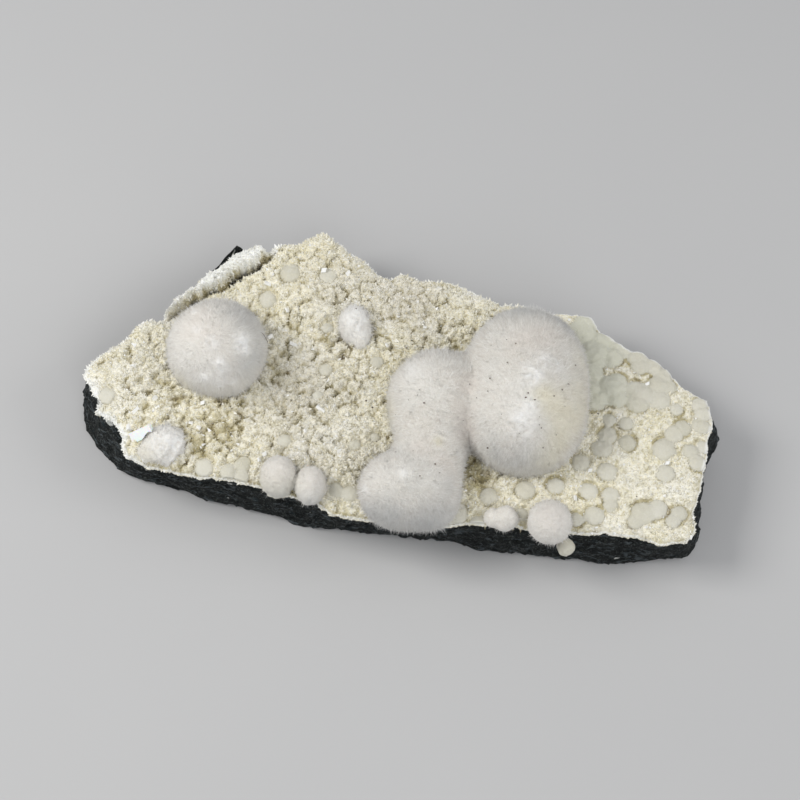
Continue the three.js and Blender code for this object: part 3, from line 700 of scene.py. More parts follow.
def lay_druse(look):
    """Cream crystals, olive and brown where they stand deep (partly their colour, partly painted shade), near
    black painted shadow in the crevice, white towards the broken edge.
    """
    look.blend(look.patches(0.09, 3, 0.5, 0.35, 0.65), (0.86, 0.81, 0.63), (0.86, 0.825, 0.71))
    look.tint(look.patches(1.5, 3, 0.65, 0.42, 0.64), 0.7, (0.93, 0.915, 0.85))  # pale grains
    look.tint(look.patches(0.4, 3, 0.6, 0.52, 0.66), 0.35, (0.66, 0.61, 0.42))  # clouds
    look.tint(look.patches(1.1, 3, 0.6, 0.55, 0.68), 0.6, (0.56, 0.50, 0.27))  # olive
    look.tint(look.attribute("grey"), 0.5, (0.58, 0.55, 0.49))
    # olive and brown where the crystals stand deep: partly their colour, partly painted shade
    deep = look.ramp(look.attribute("olive_and_shade"), 0.22, 0.8)
    look.tint(deep, 0.8, (0.44, 0.38, 0.19))
    rust_and_shade = look.math("MULTIPLY", look.patches(0.35, 3, 0.6, 0.54, 0.68), deep)
    look.tint(rust_and_shade, 0.75, (0.20, 0.145, 0.075))
    look.tint(look.patches(2.4, 2, 0.5, 0.64, 0.72), 0.5, (0.36, 0.29, 0.15))  # grit
    look.tint(look.attribute("white"), 0.7, (0.95, 0.94, 0.90))
    # near black painted shadow deep in the lip's crevice
    look.tint(look.attribute("crevice_shadow"), 1.0, (0.035, 0.03, 0.022))
    look.tint(look.attribute("rim"), 1.0, (0.91, 0.91, 0.87))


def crust_material():
    look = Look("crust", Roughness=0.6, Subsurface_Weight=0.25, Subsurface_Radius=(1.0, 0.95, 0.8),
                Subsurface_Scale=0.8 * MM)
    lay_druse(look)
    return look.material


def crystal_material():
    look = Look("crystals", Roughness=0.3, IOR=1.45, Subsurface_Weight=0.3,
                Subsurface_Radius=(1.0, 0.95, 0.85), Subsurface_Scale=0.6 * MM)
    lay_druse(look)
    shade = look.attribute("shade")
    look.tint(look.ramp(shade, 0.6, 1.0), 0.5, (0.93, 0.925, 0.89))
    look.tint(look.ramp(shade, 0.3, 0.0), 0.5, (0.52, 0.47, 0.30))
    # the brightest few crystals near white: partly their colour, partly painted glints
    look.tint(look.ramp(shade, 0.965, 0.97), 1.0, (0.99, 0.99, 0.98))
    return look.material


def tint_okenite(look):
    """Changes the colour of okenite where it is denser and whiter (partly painted light), beige, stained,
    grey with painted shade, or matted.
    """
    for key, strength, color in (
        # pale: whiter, partly painted light
        ("pale", 0.6, (0.95, 0.93, 0.885)),
        ("blush", 0.7, (0.84, 0.765, 0.70)),
        ("stain", 0.8, (0.87, 0.81, 0.60)),
        # painted shade: bluish grey on undersides and shaded sides
        ("painted_shade", 0.85, (0.54, 0.545, 0.54)),
        ("bright", 1.0, (0.99, 0.98, 0.96)),
    ):
        look.tint(look.attribute(key), strength, color)


def okenite_material():
    look = Look("okenite", Roughness=1.0, Specular_IOR_Level=0.1, Subsurface_Weight=0.3,
                Subsurface_Radius=(1.0, 0.94, 0.88), Subsurface_Scale=0.9 * MM, Sheen_Weight=0.3,
                Sheen_Roughness=0.5)
    look.blend(look.patches(0.11, 3, 0.55, 0.38, 0.62), (0.77, 0.73, 0.665), (0.79, 0.765, 0.71))
    look.tint(look.patches(1.0, 4, 0.65, 0.35, 0.7), 0.4, (0.88, 0.86, 0.81))
    look.tint(look.patches(3.4, 2, 0.6, 0.5, 0.68), 0.5, (0.97, 0.955, 0.92))
    tint_okenite(look)
    look.bump(look.noise(2.6, 3, 0.7), 0.3)
    return look.material


def fur_material():
    look = Look("okenite_fur", Roughness=1.0, Specular_IOR_Level=0.1, Sheen_Weight=0.6, Sheen_Roughness=0.45)
    look.blend(look.patches(0.11, 3, 0.55, 0.38, 0.62), (0.74, 0.695, 0.63), (0.76, 0.735, 0.68))
    look.tint(look.ramp(look.attribute("shade"), 0.3, 0.7), 0.9, (0.97, 0.955, 0.915))
    look.tint(look.patches(0.8, 4, 0.65, 0.5, 0.7), 0.35, (0.74, 0.70, 0.63))
    tint_okenite(look)
    return look.material


def gyrolite_material():
    look = Look("gyrolite", Roughness=0.5, Specular_IOR_Level=0.35, Subsurface_Weight=0.35,
                Subsurface_Radius=(1.0, 0.97, 0.85), Subsurface_Scale=1.2 * MM)
    look.blend(look.patches(0.16, 3, 0.5, 0.3, 0.7), (0.61, 0.585, 0.475), (0.65, 0.63, 0.54))
    look.tint(look.patches(1.1, 4, 0.6, 0.35, 0.75), 0.35, (0.73, 0.705, 0.61))
    look.tint(look.attribute("shade"), 0.45, (0.78, 0.76, 0.68))
    look.tint(look.attribute("green"), 1.0, (0.67, 0.67, 0.56))
    look.tint(look.patches(3.5, 2, 0.6, 0.55, 0.72), 0.3, (0.86, 0.845, 0.77))
    look.tint(look.attribute("rim"), 1.0, (0.93, 0.93, 0.89))
    look.bump(look.noise(2.8, 4, 0.65), 0.2)
    return look.material


def calcite_material():
    look = Look("calcite", Roughness=0.16, Subsurface_Weight=0.35, Subsurface_Scale=1.5 * MM)
    look.blend(look.patches(0.7, 4, 0.6, 0.35, 0.7), (0.88, 0.89, 0.9), (0.95, 0.95, 0.94))
    look.bump(look.noise(0.9, 3, 0.5), 0.06)
    return look.material


def chip_material():
    look = Look("calcite_chip", Roughness=0.3)
    look.blend(look.patches(0.9, 3, 0.6, 0.35, 0.7), (0.86, 0.86, 0.84), (0.95, 0.95, 0.93))
    return look.material


def dirt_material():
    look = Look("dirt", Roughness=0.8)
    look.blend(look.noise(0.8, 2, 0.5), (0.07, 0.045, 0.03), (0.16, 0.11, 0.08))
    return look.material


def floor_material():
    look = Look("floor", Roughness=0.85, Specular_IOR_Level=0.2)
    look.blend(look.noise(0.01, 3, 0.5), (0.50, 0.50, 0.505), (0.53, 0.53, 0.53))
    return look.material


# ---- Camera, lights and floor ----

CAMERA_TARGET = np.array([0.0, 0.0, 17.0])  # in the survey's mm
CAMERA_DISTANCE = 524.0  # in mm
CAMERA_ELEVATION = math.radians(60)
CAMERA_LENS = 100.0
SENSOR_WIDTH = 36.0
LIGHTS = {  # place in metres, size, watts, colour
    "key": ((-0.45, 0.0, 0.5), 0.3, 2.4, (1.0, 0.985, 0.955)),
    "right": ((0.65, -0.1, 0.45), 0.4, 1.6, (1.0, 0.99, 0.98)),
    "front": ((0.15, -0.75, 0.75), 0.6, 2.35, (0.98, 0.99, 1.0)),
}
SKY = {"Color": (0.95, 0.97, 1.0, 1), "Strength": 0.42}
FLOOR_REACH = 3  # in metres


def make_camera():
    camera = new_object("camera", bpy.data.cameras.new("camera"))
    camera.data.lens = CAMERA_LENS
    camera.data.sensor_width = SENSOR_WIDTH
    camera.data.clip_start = 0.01
    towards = np.array([0.0, -math.cos(CAMERA_ELEVATION), math.sin(CAMERA_ELEVATION)])
    camera.location = (CAMERA_TARGET + SURVEY_SHIFT + CAMERA_DISTANCE * towards) * MM
    camera.rotation_euler = (math.pi / 2 - CAMERA_ELEVATION, 0, 0)
    bpy.context.scene.camera = camera


def make_light(name, place, size, watts, color):
    """A square light that faces the specimen."""
    light = new_object(name, bpy.data.lights.new(name, "AREA"))
    light.data.size = size
    light.data.energy = watts
    light.data.color = color
    light.location = place
    light.rotation_euler = (-light.location).to_track_quat("-Z", "Y").to_euler()


def make_studio():
    for name, values in LIGHTS.items():
        make_light(name, *values)
    world = bpy.data.worlds.new("studio")
    world.use_nodes = True
    for key, value in SKY.items():
        world.node_tree.nodes["Background"].inputs[key].default_value = value
    bpy.context.scene.world = world
    bpy.context.scene.view_settings.view_transform = "Standard"
    mesh = bpy.data.meshes.new("floor")
    corners = [(FLOOR_REACH * x, FLOOR_REACH * y, 0) for x, y in ((-1, -1), (1, -1), (1, 1), (-1, 1))]
    mesh.from_pydata(corners, [], [(0, 1, 2, 3)])
    mesh.materials.append(floor_material())
    floor = new_object("floor", mesh)


# ---- Crust ----

def rind(x, y):
    """How far the white broken rind shows along the crust's edge: little but at the left end."""
    left = smooth_step(-56, -64, x) * smooth_step(16, 6, y)
    back = smooth_step(0, 6, y - 0.1 * x)
    bare_back = smooth_step(-44, -52, x) * back
    right = smooth_step(38, 46, x) * smooth_step(-30, -22, y)
    return np.clip(left + 0.3 * back + 0.3 * bare_back + 0.3 * right, 0, 1)


def gyrolite_rings(x, y):
    """How close a place is to the outline of any gyrolite ball: 1 beside it, 0 some way off."""
    nearest = np.full(x.shape, FAR)
    for gx, gy, radius in GYROLITE:
        nearest = np.minimum(nearest, np.abs(np.hypot(x - gx, y - gy) - radius - 0.35))
    patchy = smooth_step(0.4, 0.68, flat_noise(x, y, 2.6, 39))
    return np.exp(-((nearest / 0.5) ** 2)) * patchy * smooth_step(20, 35, x)


def crust_values(x, y, depth):
    """What the druse's colour depends on, at each place."""
    lip, crevice, out, comb = lip_profile(x, y, depth)
    ragged = 0.5 + flat_noise(x, y, 1.1, 33)
    edge = 1 - depth / ((0.1 + 1.1 * rind(x, y) ** 1.5) * ragged)
    outer_lip = np.clip(lip / 1.5, 0, 1) * smooth_step(0.7, 1.6, out + 1.2 * comb)
    # painted shade on the lip's inner wall, which faces the crevice; below, it joins the olive places, the
    # olive rings round the gyrolite balls and a darker front edge
    crevice_wall = np.clip(lip, 0, 1) * smooth_step(1.3, 0.6, out) * (0.4 - 1.2 * comb)
    uneven = 0.4 + 1.2 * flat_noise(x, y, 1.6, 35)
    front_rim = np.exp(-np.maximum(depth, 0) / 1.3) * smooth_step(-9, -15, y)
    front_rim = front_rim * (1 - 0.4 * smooth_step(26, 40, x))
    dark = crevice_wall + uneven * (0.75 * spots(OLIVE, x, y) + 0.7 * gyrolite_rings(x, y) + 0.75 * front_rim)
    return {
        # olive colour and painted shade where the crystals stand deep
        "olive_and_shade": np.clip(sample(olive_and_shade, x, y) + dark, 0, 1),
        "rim": smooth_step(0, 0.6, np.maximum(edge, outer_lip)),
        "grey": spots(GREY, x, y),
        "white": np.clip(spots(WHITE, x, y) * uneven, 0, 1),
        # near black painted shadow deep in the lip's crevice
        "crevice_shadow": smooth_step(0.9, 2.1, crevice),
    }


def cell_corners(grid):
    """A grid's values at the four corners of its cells, in the order that makes a face point up."""
    return grid[:-1, :-1], grid[1:, :-1], grid[1:, 1:], grid[:-1, 1:]


def crust_cells():
    """The corner numbers of the grid's cells that lie inside the crust's edge."""
    inside = sum(cell_corners(crust_depth)) / 4 > 0
    numbers = np.arange(grid_x.size).reshape(grid_x.shape)
    return np.stack([corner[inside] for corner in cell_corners(numbers)], axis=1)


def open_edges(quads):
    """The sides that only one quad has, each in that quad's direction."""
    sides = np.concatenate([quads[:, [k, (k + 1) % 4]] for k in range(4)])
    size = sides.max() + 1
    codes, opposite = sides[:, 0] * size + sides[:, 1], sides[:, 1] * size + sides[:, 0]
    return sides[~np.isin(codes, opposite)]


def chains(sides):
    """Closed loops of points, followed along the sides."""
    following = dict(zip(sides[:, 0].tolist(), sides[:, 1].tolist()))
    loops = []
    while following:
        start, point = following.popitem()
        loop = [start]
        while point != start:
            loop.append(point)
            point = following.pop(point)
        loops.append(loop)
    return loops


PLAN_JITTER = 0.3  # share of the grid's spacing
BRINK_STEPS = 3  # the ragged edge isn't straight, so the brink walks to it in steps
LONGEST_STEP = 0.3
TOP_GRAIN = 0.07


def crust_plan(rng):
    """The crust's mesh seen from above: its points, quads, open sides, and its brink, the points of those."""
    used, quads = np.unique(crust_cells(), return_inverse=True)
    quads = quads.reshape(-1, 4)
    x, y = grid_x.ravel()[used], grid_y.ravel()[used]
    sides = open_edges(quads)
    brink = np.unique(sides)
    inner = np.ones(len(x), bool)
    inner[brink] = False
    for values in (x, y):
        values[inner] += PLAN_JITTER * GRID * rng.uniform(-1, 1, inner.sum())
    for _ in range(BRINK_STEPS):
        depth, out_x, out_y = edge_depth(x[brink], y[brink])
        step = np.clip(depth, -LONGEST_STEP, LONGEST_STEP)
        x[brink] += out_x * step
        y[brink] += out_y * step
    return x, y, quads, sides, brink


def make_crust(material):
    """The crust's knobbly top, and under its brink the rows of its broken edge."""
    rng = np.random.default_rng(3)
    x, y, quads, sides, brink = crust_plan(rng)
    z, depth = crust_surface(x, y)
    z = z + TOP_GRAIN * rng.normal(size=len(z))
    parts = {key: [numbers] for key, numbers in crust_values(x, y, depth).items()}
    vertices, faces = [np.column_stack([x, y, z])], [quads]
    x, y, z = vertices[0][brink].T
    _, out_x, out_y = edge_depth(x, y)
    ring = np.searchsorted(brink, sides)
    above = sides
    for row, (share, out, white, brown) in enumerate(CRUST_WALL):
        low = z + share * (CRUST_BED - z)
        rough = fractal(np.column_stack([x, y, low]), 1.3, 3, seed=31) - 0.5
        uneven = 0.0 if share == 1 else 1.0
        low = low + uneven * 0.3 * rough
        shove = out + uneven * (0.9 * rough + 0.1 * rng.normal(size=len(brink)))
        vertices.append(np.column_stack([x + out_x * shove, y + out_y * shove, low]))
        below = len(vertices[0]) + row * len(brink) + ring
        faces.append(np.stack([above[:, 0], below[:, 0], below[:, 1], above[:, 1]], axis=1))
        above = below
        wall_look = {"rim": white * (0.2 + 1.2 * rind(x, y)), "olive_and_shade": np.full(len(brink), brown)}
        for key, numbers in parts.items():
            numbers.append(wall_look.get(key, np.zeros(len(brink))))
    bottoms = [np.array(loop)[::-1] for loop in chains(above)]
    vertices = np.concatenate(vertices)
    values = {key: np.concatenate(numbers) for key, numbers in parts.items()}
    make_piece("crust", vertices, faces + bottoms, material, "crust", ("drusy_crust",), smooth=False,
               **values)
    return vertices, np.concatenate(faces), values


def covered(points, margin):
    """Whether places lie deeper than a margin in a puffball, or in a gyrolite ball."""
    inside = np.zeros(len(points), bool)
    for lobes in PUFFBALLS.values():
        inside |= lobe_distance(points, lobes) < -margin
    for x, y, radius in GYROLITE:
        inside |= np.hypot(points[:, 0] - x, points[:, 1] - y) < radius * GYROLITE_BARE
    return inside


CRYSTALS_PER_MM2 = 3.4
CRYSTAL_SIDES = 4
CRYSTAL_LENGTH = 0.42
CRYSTAL_WIDTH = 0.27
CRYSTAL_ROOT = 0.2  # how deep in the crust they start
CRYSTAL_LEAN = 0.38
CRYSTAL_UNEVEN = 0.32
CRYSTALS_DOWN_TO = 3.2  # how far below the crust's height they still stand
BARE_RIM = 0.7  # width of the edge without crystals, right of BARE_FROM_X and behind BARE_FROM_Y
BARE_FROM_X = 36
BARE_FROM_Y = -28


def make_crystals(crust, material):
    """Small pointed crystals all over the crust, in two pieces."""
    vertices, quads, values = crust
    rng = np.random.default_rng(7)
    quad, weights = scatter(vertices, quads, CRYSTALS_PER_MM2, rng)
    surface, normal = (
        at(numbers, quads, quad, weights) for numbers in (vertices, vertex_normals(vertices, quads)))
    x, y, z = surface.T
    bare = (edge_depth(x, y)[0] < BARE_RIM) & (x > BARE_FROM_X) & (y > BARE_FROM_Y)
    on_top = (z > CRUST_HEIGHT - CRYSTALS_DOWN_TO) & (normal[:, 2] > 0.12)
    seen = on_top & ~covered(surface, 0.8) & ~bare
    surface, normal, quad, weights = surface[seen], normal[seen], quad[seen], weights[seen]
    count = len(surface)
    axis = unit_length(normal + CRYSTAL_LEAN * rng.normal(size=(count, 3)))
    size = rng.lognormal(0, CRYSTAL_UNEVEN, count)
    base = surface - CRYSTAL_ROOT * axis
    tip = surface + axis * (CRYSTAL_LENGTH * size)[:, None]
    turn = rng.random(count) * 2 * math.pi
    width = CRYSTAL_WIDTH * size
    shade = rng.random(count)
    left = surface[:, 0] < 0
    for name, part in {"crystals_left": left, "crystals_right": ~left}.items():
        points, faces = spikes(base[part], tip[part], width[part], CRYSTAL_SIDES, turn[part])
        looks = {key: at(numbers, quads, quad[part], weights[part]) for key, numbers in values.items()}
        looks["shade"] = shade[part]
        repeated = {key: np.repeat(numbers, CRYSTAL_SIDES + 1) for key, numbers in looks.items()}
        make_piece(name, points, faces, material, "crust", smooth=False, **repeated)


# ---- Gyrolite ----

def frost(points):
    """How far the uneven surface of gyrolite stands out at each point."""
    return 0.5 * (fractal(points, 1.8, 3, seed=41) - 0.5) + 0.3 * (fractal(points, 0.7, 2, seed=43) - 0.5)


def gyrolite_values(points):
    """The tone of the gyrolite ball that each point belongs to, its greenness and its pale rim."""
    nearest = np.full(len(points), FAR)
    shade = np.zeros(len(points))
    for number, (x, y, radius) in enumerate(GYROLITE):
        away = np.hypot(points[:, 0] - x, points[:, 1] - y) / radius
        shade = np.where(away < nearest, chance(number, 5), shade)
        nearest = np.minimum(nearest, away)
    by_cluster = smooth_step(57, 50, points[:, 0]) * smooth_step(-6, -1, points[:, 1])
    depth = edge_depth(points[:, 0], points[:, 1])[0]
    return {
        "shade": shade,
        "green": 0.8 * by_cluster * smooth_step(15, 25, points[:, 0]),
        "rim": 0.9 * smooth_step(0.75, 0.3, depth) * smooth_step(10, 30, points[:, 0]),
    }


def gyrolite_body():
    """Low round balls that stand in the crust and merge where they meet, as an even mesh of quads."""
    unit, triangles = ball_mesh(3)
    balls = []
    for number, (x, y, radius) in enumerate(GYROLITE):
        depth = edge_depth(np.array([x]), np.array([y]))[0][0]
        z = CRUST_HEIGHT + 0.1 + swell(x, y) - RIM_DROP * math.exp(-max(depth, 0) / RIM_REACH)
        z += 0.3 * (chance(number, 9) - 0.5) - GYROLITE_SUNK * radius
        half = radius * np.array([GYROLITE_SPREAD, GYROLITE_SPREAD, GYROLITE_HEIGHT])
        balls.append(np.array([x, y, z]) + unit * half)
    vertices, quads = even_surface("gyrolite", *joined(balls, triangles), GYROLITE_SPACING)
    return vertices + vertex_normals(vertices, quads) * frost(vertices)[:, None], quads


def make_gyrolite(material):
    """The gyrolite balls, cut off at the crust's edge, and the one that hangs on its front edge."""
    vertices, quads = gyrolite_body()
    depth, out_x, out_y = edge_depth(vertices[:, 0], vertices[:, 1])
    beyond = np.minimum(depth - 0.15, 0)
    vertices[:, 0] += out_x * beyond
    vertices[:, 1] += out_y * beyond
    make_piece("gyrolite_balls", vertices, [quads], material, "gyrolite", **gyrolite_values(vertices))
    x, y, z, radius = GYROLITE_FRONT
    unit, triangles = ball_mesh(4)
    front = np.array([x, y, z]) + unit * (radius + frost(unit * radius + 60))[:, None]
    make_piece("gyrolite_front", front, [triangles], material, "gyrolite", ("gyrolite_ball_front",),
               shade=np.full(len(unit), 0.2))


# ---- Okenite ----

FELT_SPACING = 0.42  # of its mesh
FIBRE_SIDES = 3
FIBRE_ROOT = 0.25  # how deep in the felt they start
FIBRE_STRAY = 0.22
LONGEST_EXTRA = 1.3  # how much longer than the rest a few of the fibres are
TUFT_SIZE = 1.4
TUFT_LEAN = 1.3
COMBED_LEAN = 0.5
FELT_LUMP = 1.3
TUFT_HEIGHT = 1.1  # of a matted tuft's round lumps
STREAK_HEIGHT = 0.2
STREAK_WIDTH = 0.4
STREAKS_ROUND = 14


def lobe_distance(points, lobes):
    """Distance out of the fibres' tips, for lobes that flow into one another."""
    total = None
    for x, y, z, *radii, blend in lobes:
        offset = points - (x, y, z)
        scaled = np.linalg.norm(offset / radii, axis=1)
        steep = np.linalg.norm(offset / np.square(radii), axis=1)
        one = scaled * (scaled - 1) / np.maximum(steep, 1e-6)
        if total is None:
            total = one
        else:
            near = np.maximum(blend - np.abs(total - one), 0) / blend
            total = np.minimum(total, one) - near * near * blend / 4
    return total


def uphill(points, lobes):
    """The direction in which lobe_distance grows."""
    step = 0.05
    slopes = []
    for axis in np.eye(3):
        slopes.append(lobe_distance(points + step * axis, lobes) - lobe_distance(points - step * axis, lobes))
    return unit_length(np.stack(slopes, axis=1))


def okenite_values(points):
    """How strongly each kind of special place of the okenite shows at each point."""
    values = {}
    patchy = fractal(points, 4, 3, seed=53)
    matted = 0.3 + 0.7 * smooth_step(0.34, 0.5, fractal(points, 1.0, 3, seed=59))
    for kind, places in OKENITE_PLACES.items():
        total = np.zeros(len(points))
        for *place, reach, strength in places:
            total += strength * np.exp(-((points - place) ** 2).sum(axis=1) / reach ** 2)
        values[kind] = 1 - np.exp(-1.3 * total * (matted if kind == "bright" else 0.4 + 1.2 * patchy))
    return values


def parting(name):
    """The direction that a puffball's fibres lean away from."""
    return unit_length(np.array([COMBED_FROM.get(name, COMBED_FROM_ABOVE)]))


def combed(out, name):
    """The direction along the surface in which the fibres lean, and how steeply it falls away there."""
    axis = parting(name)
    facing = (out * axis).sum(axis=1, keepdims=True)
    return unit_length(facing * out - axis), np.sqrt(np.maximum(0, 1 - facing[:, 0] ** 2))


def felt_body(name, lobes, inset):
    """The dense inner part of grown-together balls, inset from the fibres' tips: an even mesh of quads."""
    unit, triangles = ball_mesh(4)
    balls = [np.array(lobe[:3]) + unit * (np.array(lobe[3:6]) - inset) for lobe in lobes]
    vertices, quads = even_surface(name, *joined(balls, triangles), FELT_SPACING)
    for _ in range(3):
        vertices = vertices - uphill(vertices, lobes) * (lobe_distance(vertices, lobes) + inset)[:, None]
    return vertices, quads


def lumps_in_space(points, size, seed):
    """Round lumps like popcorn, 1 on their tops and 0 between them."""
    cell = np.floor(points / size).astype(np.int64)
    nearest = np.full(len(points), FAR)
    for step in np.ndindex(3, 3, 3):
        i, j, k = (cell + step - 1).T
        jitter = [chance(i, j, k, seed + axis) for axis in range(3)]
        spot = np.column_stack([i, j, k]) + np.column_stack(jitter)
        nearest = np.minimum(nearest, np.linalg.norm(points - spot * size, axis=1))
    return dome(nearest, size)


def rays(points, lobes, name):
    """Streaks from 0 to 1 that run down each ball from where its fibres part."""
    away = [np.linalg.norm((points - lobe[:3]) / lobe[3:6], axis=1) for lobe in lobes]
    middle = np.array([lobe[:3] for lobe in lobes])[np.argmin(away, axis=0)]
    axis = parting(name)
    first, second = turned_frames(axis)
    arm = unit_length(points - middle)
    turn = np.arctan2(arm @ first[0], arm @ second[0])
    return flat_noise(STREAKS_ROUND * turn, 4 * arm @ axis[0], STREAK_WIDTH, 77)


def felt_relief(name, points, out, bright):
    """How far the felt stands out: swellings, lumps, streaks, matted tufts, grains and ripples."""
    bumps = 0.55 * (fractal(points, 6.5, 2, seed=61) - 0.5)
    bumps = bumps + FUR[name][3] * (fractal(points, FELT_LUMP, 3, seed=67) - 0.5)
    bumps = bumps + STREAK_HEIGHT * (rays(points, PUFFBALLS[name], name) - 0.5)
    bumps = bumps + TUFT_HEIGHT * bright * lumps_in_space(points, 1.0, 69)
    bumps = bumps + GRANULAR.get(name, 0) * (lumps_in_space(points, 1.0, 79) - 0.7)
    if name in RIPPLED:
        facing = (out * parting(name)).sum(axis=1) + 0.25 * noise(points, 3, seed=73)
        ripples = flat_noise(facing, 0 * facing, 0.16, 75) - 0.5
        bumps = bumps + RIPPLED[name] * smooth_step(0.8, 0.3, facing) * ripples
    return bumps


def make_fibres(name, felt, rng, material):
    """Thin pointed fibres on the felt, in tufts that lean away from where they part."""
    vertices, quads, out, bright = felt
    length, per_mm2, thick, _ = FUR[name]
    quad, weights = scatter(vertices, quads, per_mm2, rng)
    root, way, matted = (at(values, quads, quad, weights) for values in (vertices, out, bright))
    x, y, z = root.T
    in_air = (sample(crust_depth, x, y) < 0) | (z > sample(crust_z, x, y) - 0.3)
    in_air &= rng.random(len(root)) > 0.8 * matted
    root, way = root[in_air], way[in_air]
    count = len(root)
    tuft = np.column_stack([fractal(root, TUFT_SIZE, 2, seed=71 + axis) - 0.5 for axis in range(3)])
    away, steep = combed(way, name)
    lean = way + TUFT_LEAN * tuft + COMBED_LEAN * steep[:, None] * away
    lean = unit_length(lean + FIBRE_STRAY * rng.normal(size=(count, 3)))
    reach = length * (0.5 + 0.8 * rng.random(count)) + LONGEST_EXTRA * rng.random(count) ** 6
    tip = root + lean * reach[:, None]
    width = thick * rng.uniform(0.6, 1.2, count)
    turn = rng.random(count) * 2 * math.pi
    points, faces = spikes(root - FIBRE_ROOT * way, tip, width, FIBRE_SIDES, turn)
    shade = np.clip(0.7 * rng.random(count) + 0.7 * rays(root, PUFFBALLS[name], name) - 0.2, 0, 1)
    corners = FIBRE_SIDES + 1
    piece = make_piece(name.replace("okenite", "fibres"), points, faces, material, "okenite",
                       shade=np.repeat(shade, corners), **okenite_values(points))
    middle = np.repeat((root + tip) / 2 - 0.6 * way, corners, axis=0)
    soft = unit_length(0.55 * unit_length(points - middle) + np.repeat(way, corners, axis=0))
    piece.data.normals_split_custom_set_from_vertices(soft)


def make_okenite_piece(name, felt_look, fur_look):
    """A puffball, or some that have grown together: a felted body with fibres on it."""
    lobes = PUFFBALLS[name]
    rng = np.random.default_rng(101 + sum(map(ord, name)))
    vertices, quads = felt_body(name, lobes, FUR[name][0])
    out = uphill(vertices, lobes)
    looks = okenite_values(vertices)
    vertices = vertices + out * felt_relief(name, vertices, out, looks["bright"])[:, None]
    make_piece(name + "_felt", vertices, [quads], felt_look, "okenite", (name,),
               shade=np.full(len(vertices), 0.5), **looks)
    make_fibres(name, (vertices, quads, out, looks["bright"]), rng, fur_look)


# ---- Basalt ----

ROCK_SPACING = 0.55
ROCK_ROWS = 26
LID_INSET = 1.7  # how far the rock's hidden lid lies inside the crust's edge
TOOTH_CUTS = 9
ROCK_CHIPS = [(0.4, 5.0, 2.2, 83), (0.4, 2.0, 2.0, 89), (0.2, 0.9, 1.6, 97)]  # rise, size, stretch, seed
ROCK_LUMPS = [(1.2, 1.8, 3.6, 93), (0.8, 1.3, 1.4, 95)]  # rise, how flat, size, seed


def eased(values, reach):
    """Values round the edge, averaged over about reach mm."""
    steps = np.arange(-40, 41)
    weights = np.exp(-0.5 * (steps * ROCK_SPACING / reach) ** 2)
    return sum(weight * np.roll(values, step, axis=0) for step, weight in zip(steps, weights)) / weights.sum()


def edge_walk():
    """Evenly spaced points round the crust's edge, the rock's foot below each, and the direction outward."""
    closed = np.concatenate([CRUST_EDGE, CRUST_EDGE[:1]])
    walked = np.concatenate([[0], np.cumsum(np.hypot(*np.diff(closed, axis=0).T))])
    count = int(walked[-1] / ROCK_SPACING)
    along = walked[-1] * np.arange(count) / count
    line = np.column_stack([np.interp(along, walked, closed[:, axis]) for axis in (0, 1)])
    _, _, foot_x, foot_y, _ = to_line(*eased(line, 4).T, ROCK_FOOT, True)
    foot = eased(np.column_stack([foot_x, foot_y]), 2)
    line = eased(line, 0.9)
    heading = eased(np.roll(line, -1, axis=0) - np.roll(line, 1, axis=0), 2.8)
    return along, line, foot, unit_length(np.column_stack([-heading[:, 1], heading[:, 0]]))


def chips(along, height, size, stretch, seed):
    """Flat facets at odd angles, as broken rock has: how far each place stands out."""
    u = along / stretch
    _, _, (i, j, pu, pv) = cells(u, height, size, seed)
    stand, tilt_u, tilt_v = (chance(i, j, seed=seed + k) - 0.5 for k in (1, 2, 3))
    return stand + 1.6 * (tilt_u * (u - pu) + tilt_v * (height - pv)) / size


def rock_top(line, out):
    """Height of the rock under the crust's edge, and the lip's rise over it."""
    brink, depth = crust_surface(*line.T)
    lip = lip_profile(*line.T, depth)[0]
    inner = crust_surface(*(line - 0.9 * out).T)[0]
    top = np.minimum(brink - 0.85 * lip - 0.5, inner + 0.7)
    return (np.roll(top, 1) + 2 * top + np.roll(top, -1)) / 4, lip


def broken_relief(along, plan):
    """How far the rock's broken facets stand out."""
    z = plan[..., 2]
    s = np.broadcast_to(along, z.shape)
    relief = sum(high * chips(s, z, size, stretch, seed) for high, size, stretch, seed in ROCK_CHIPS)
    for high, squash, size, seed in ROCK_LUMPS:
        lumps = fractal(plan.reshape(-1, 3) * (1, 1, squash), size, 2, seed).reshape(z.shape)
        relief = relief + high * (lumps - 0.5)
    return relief


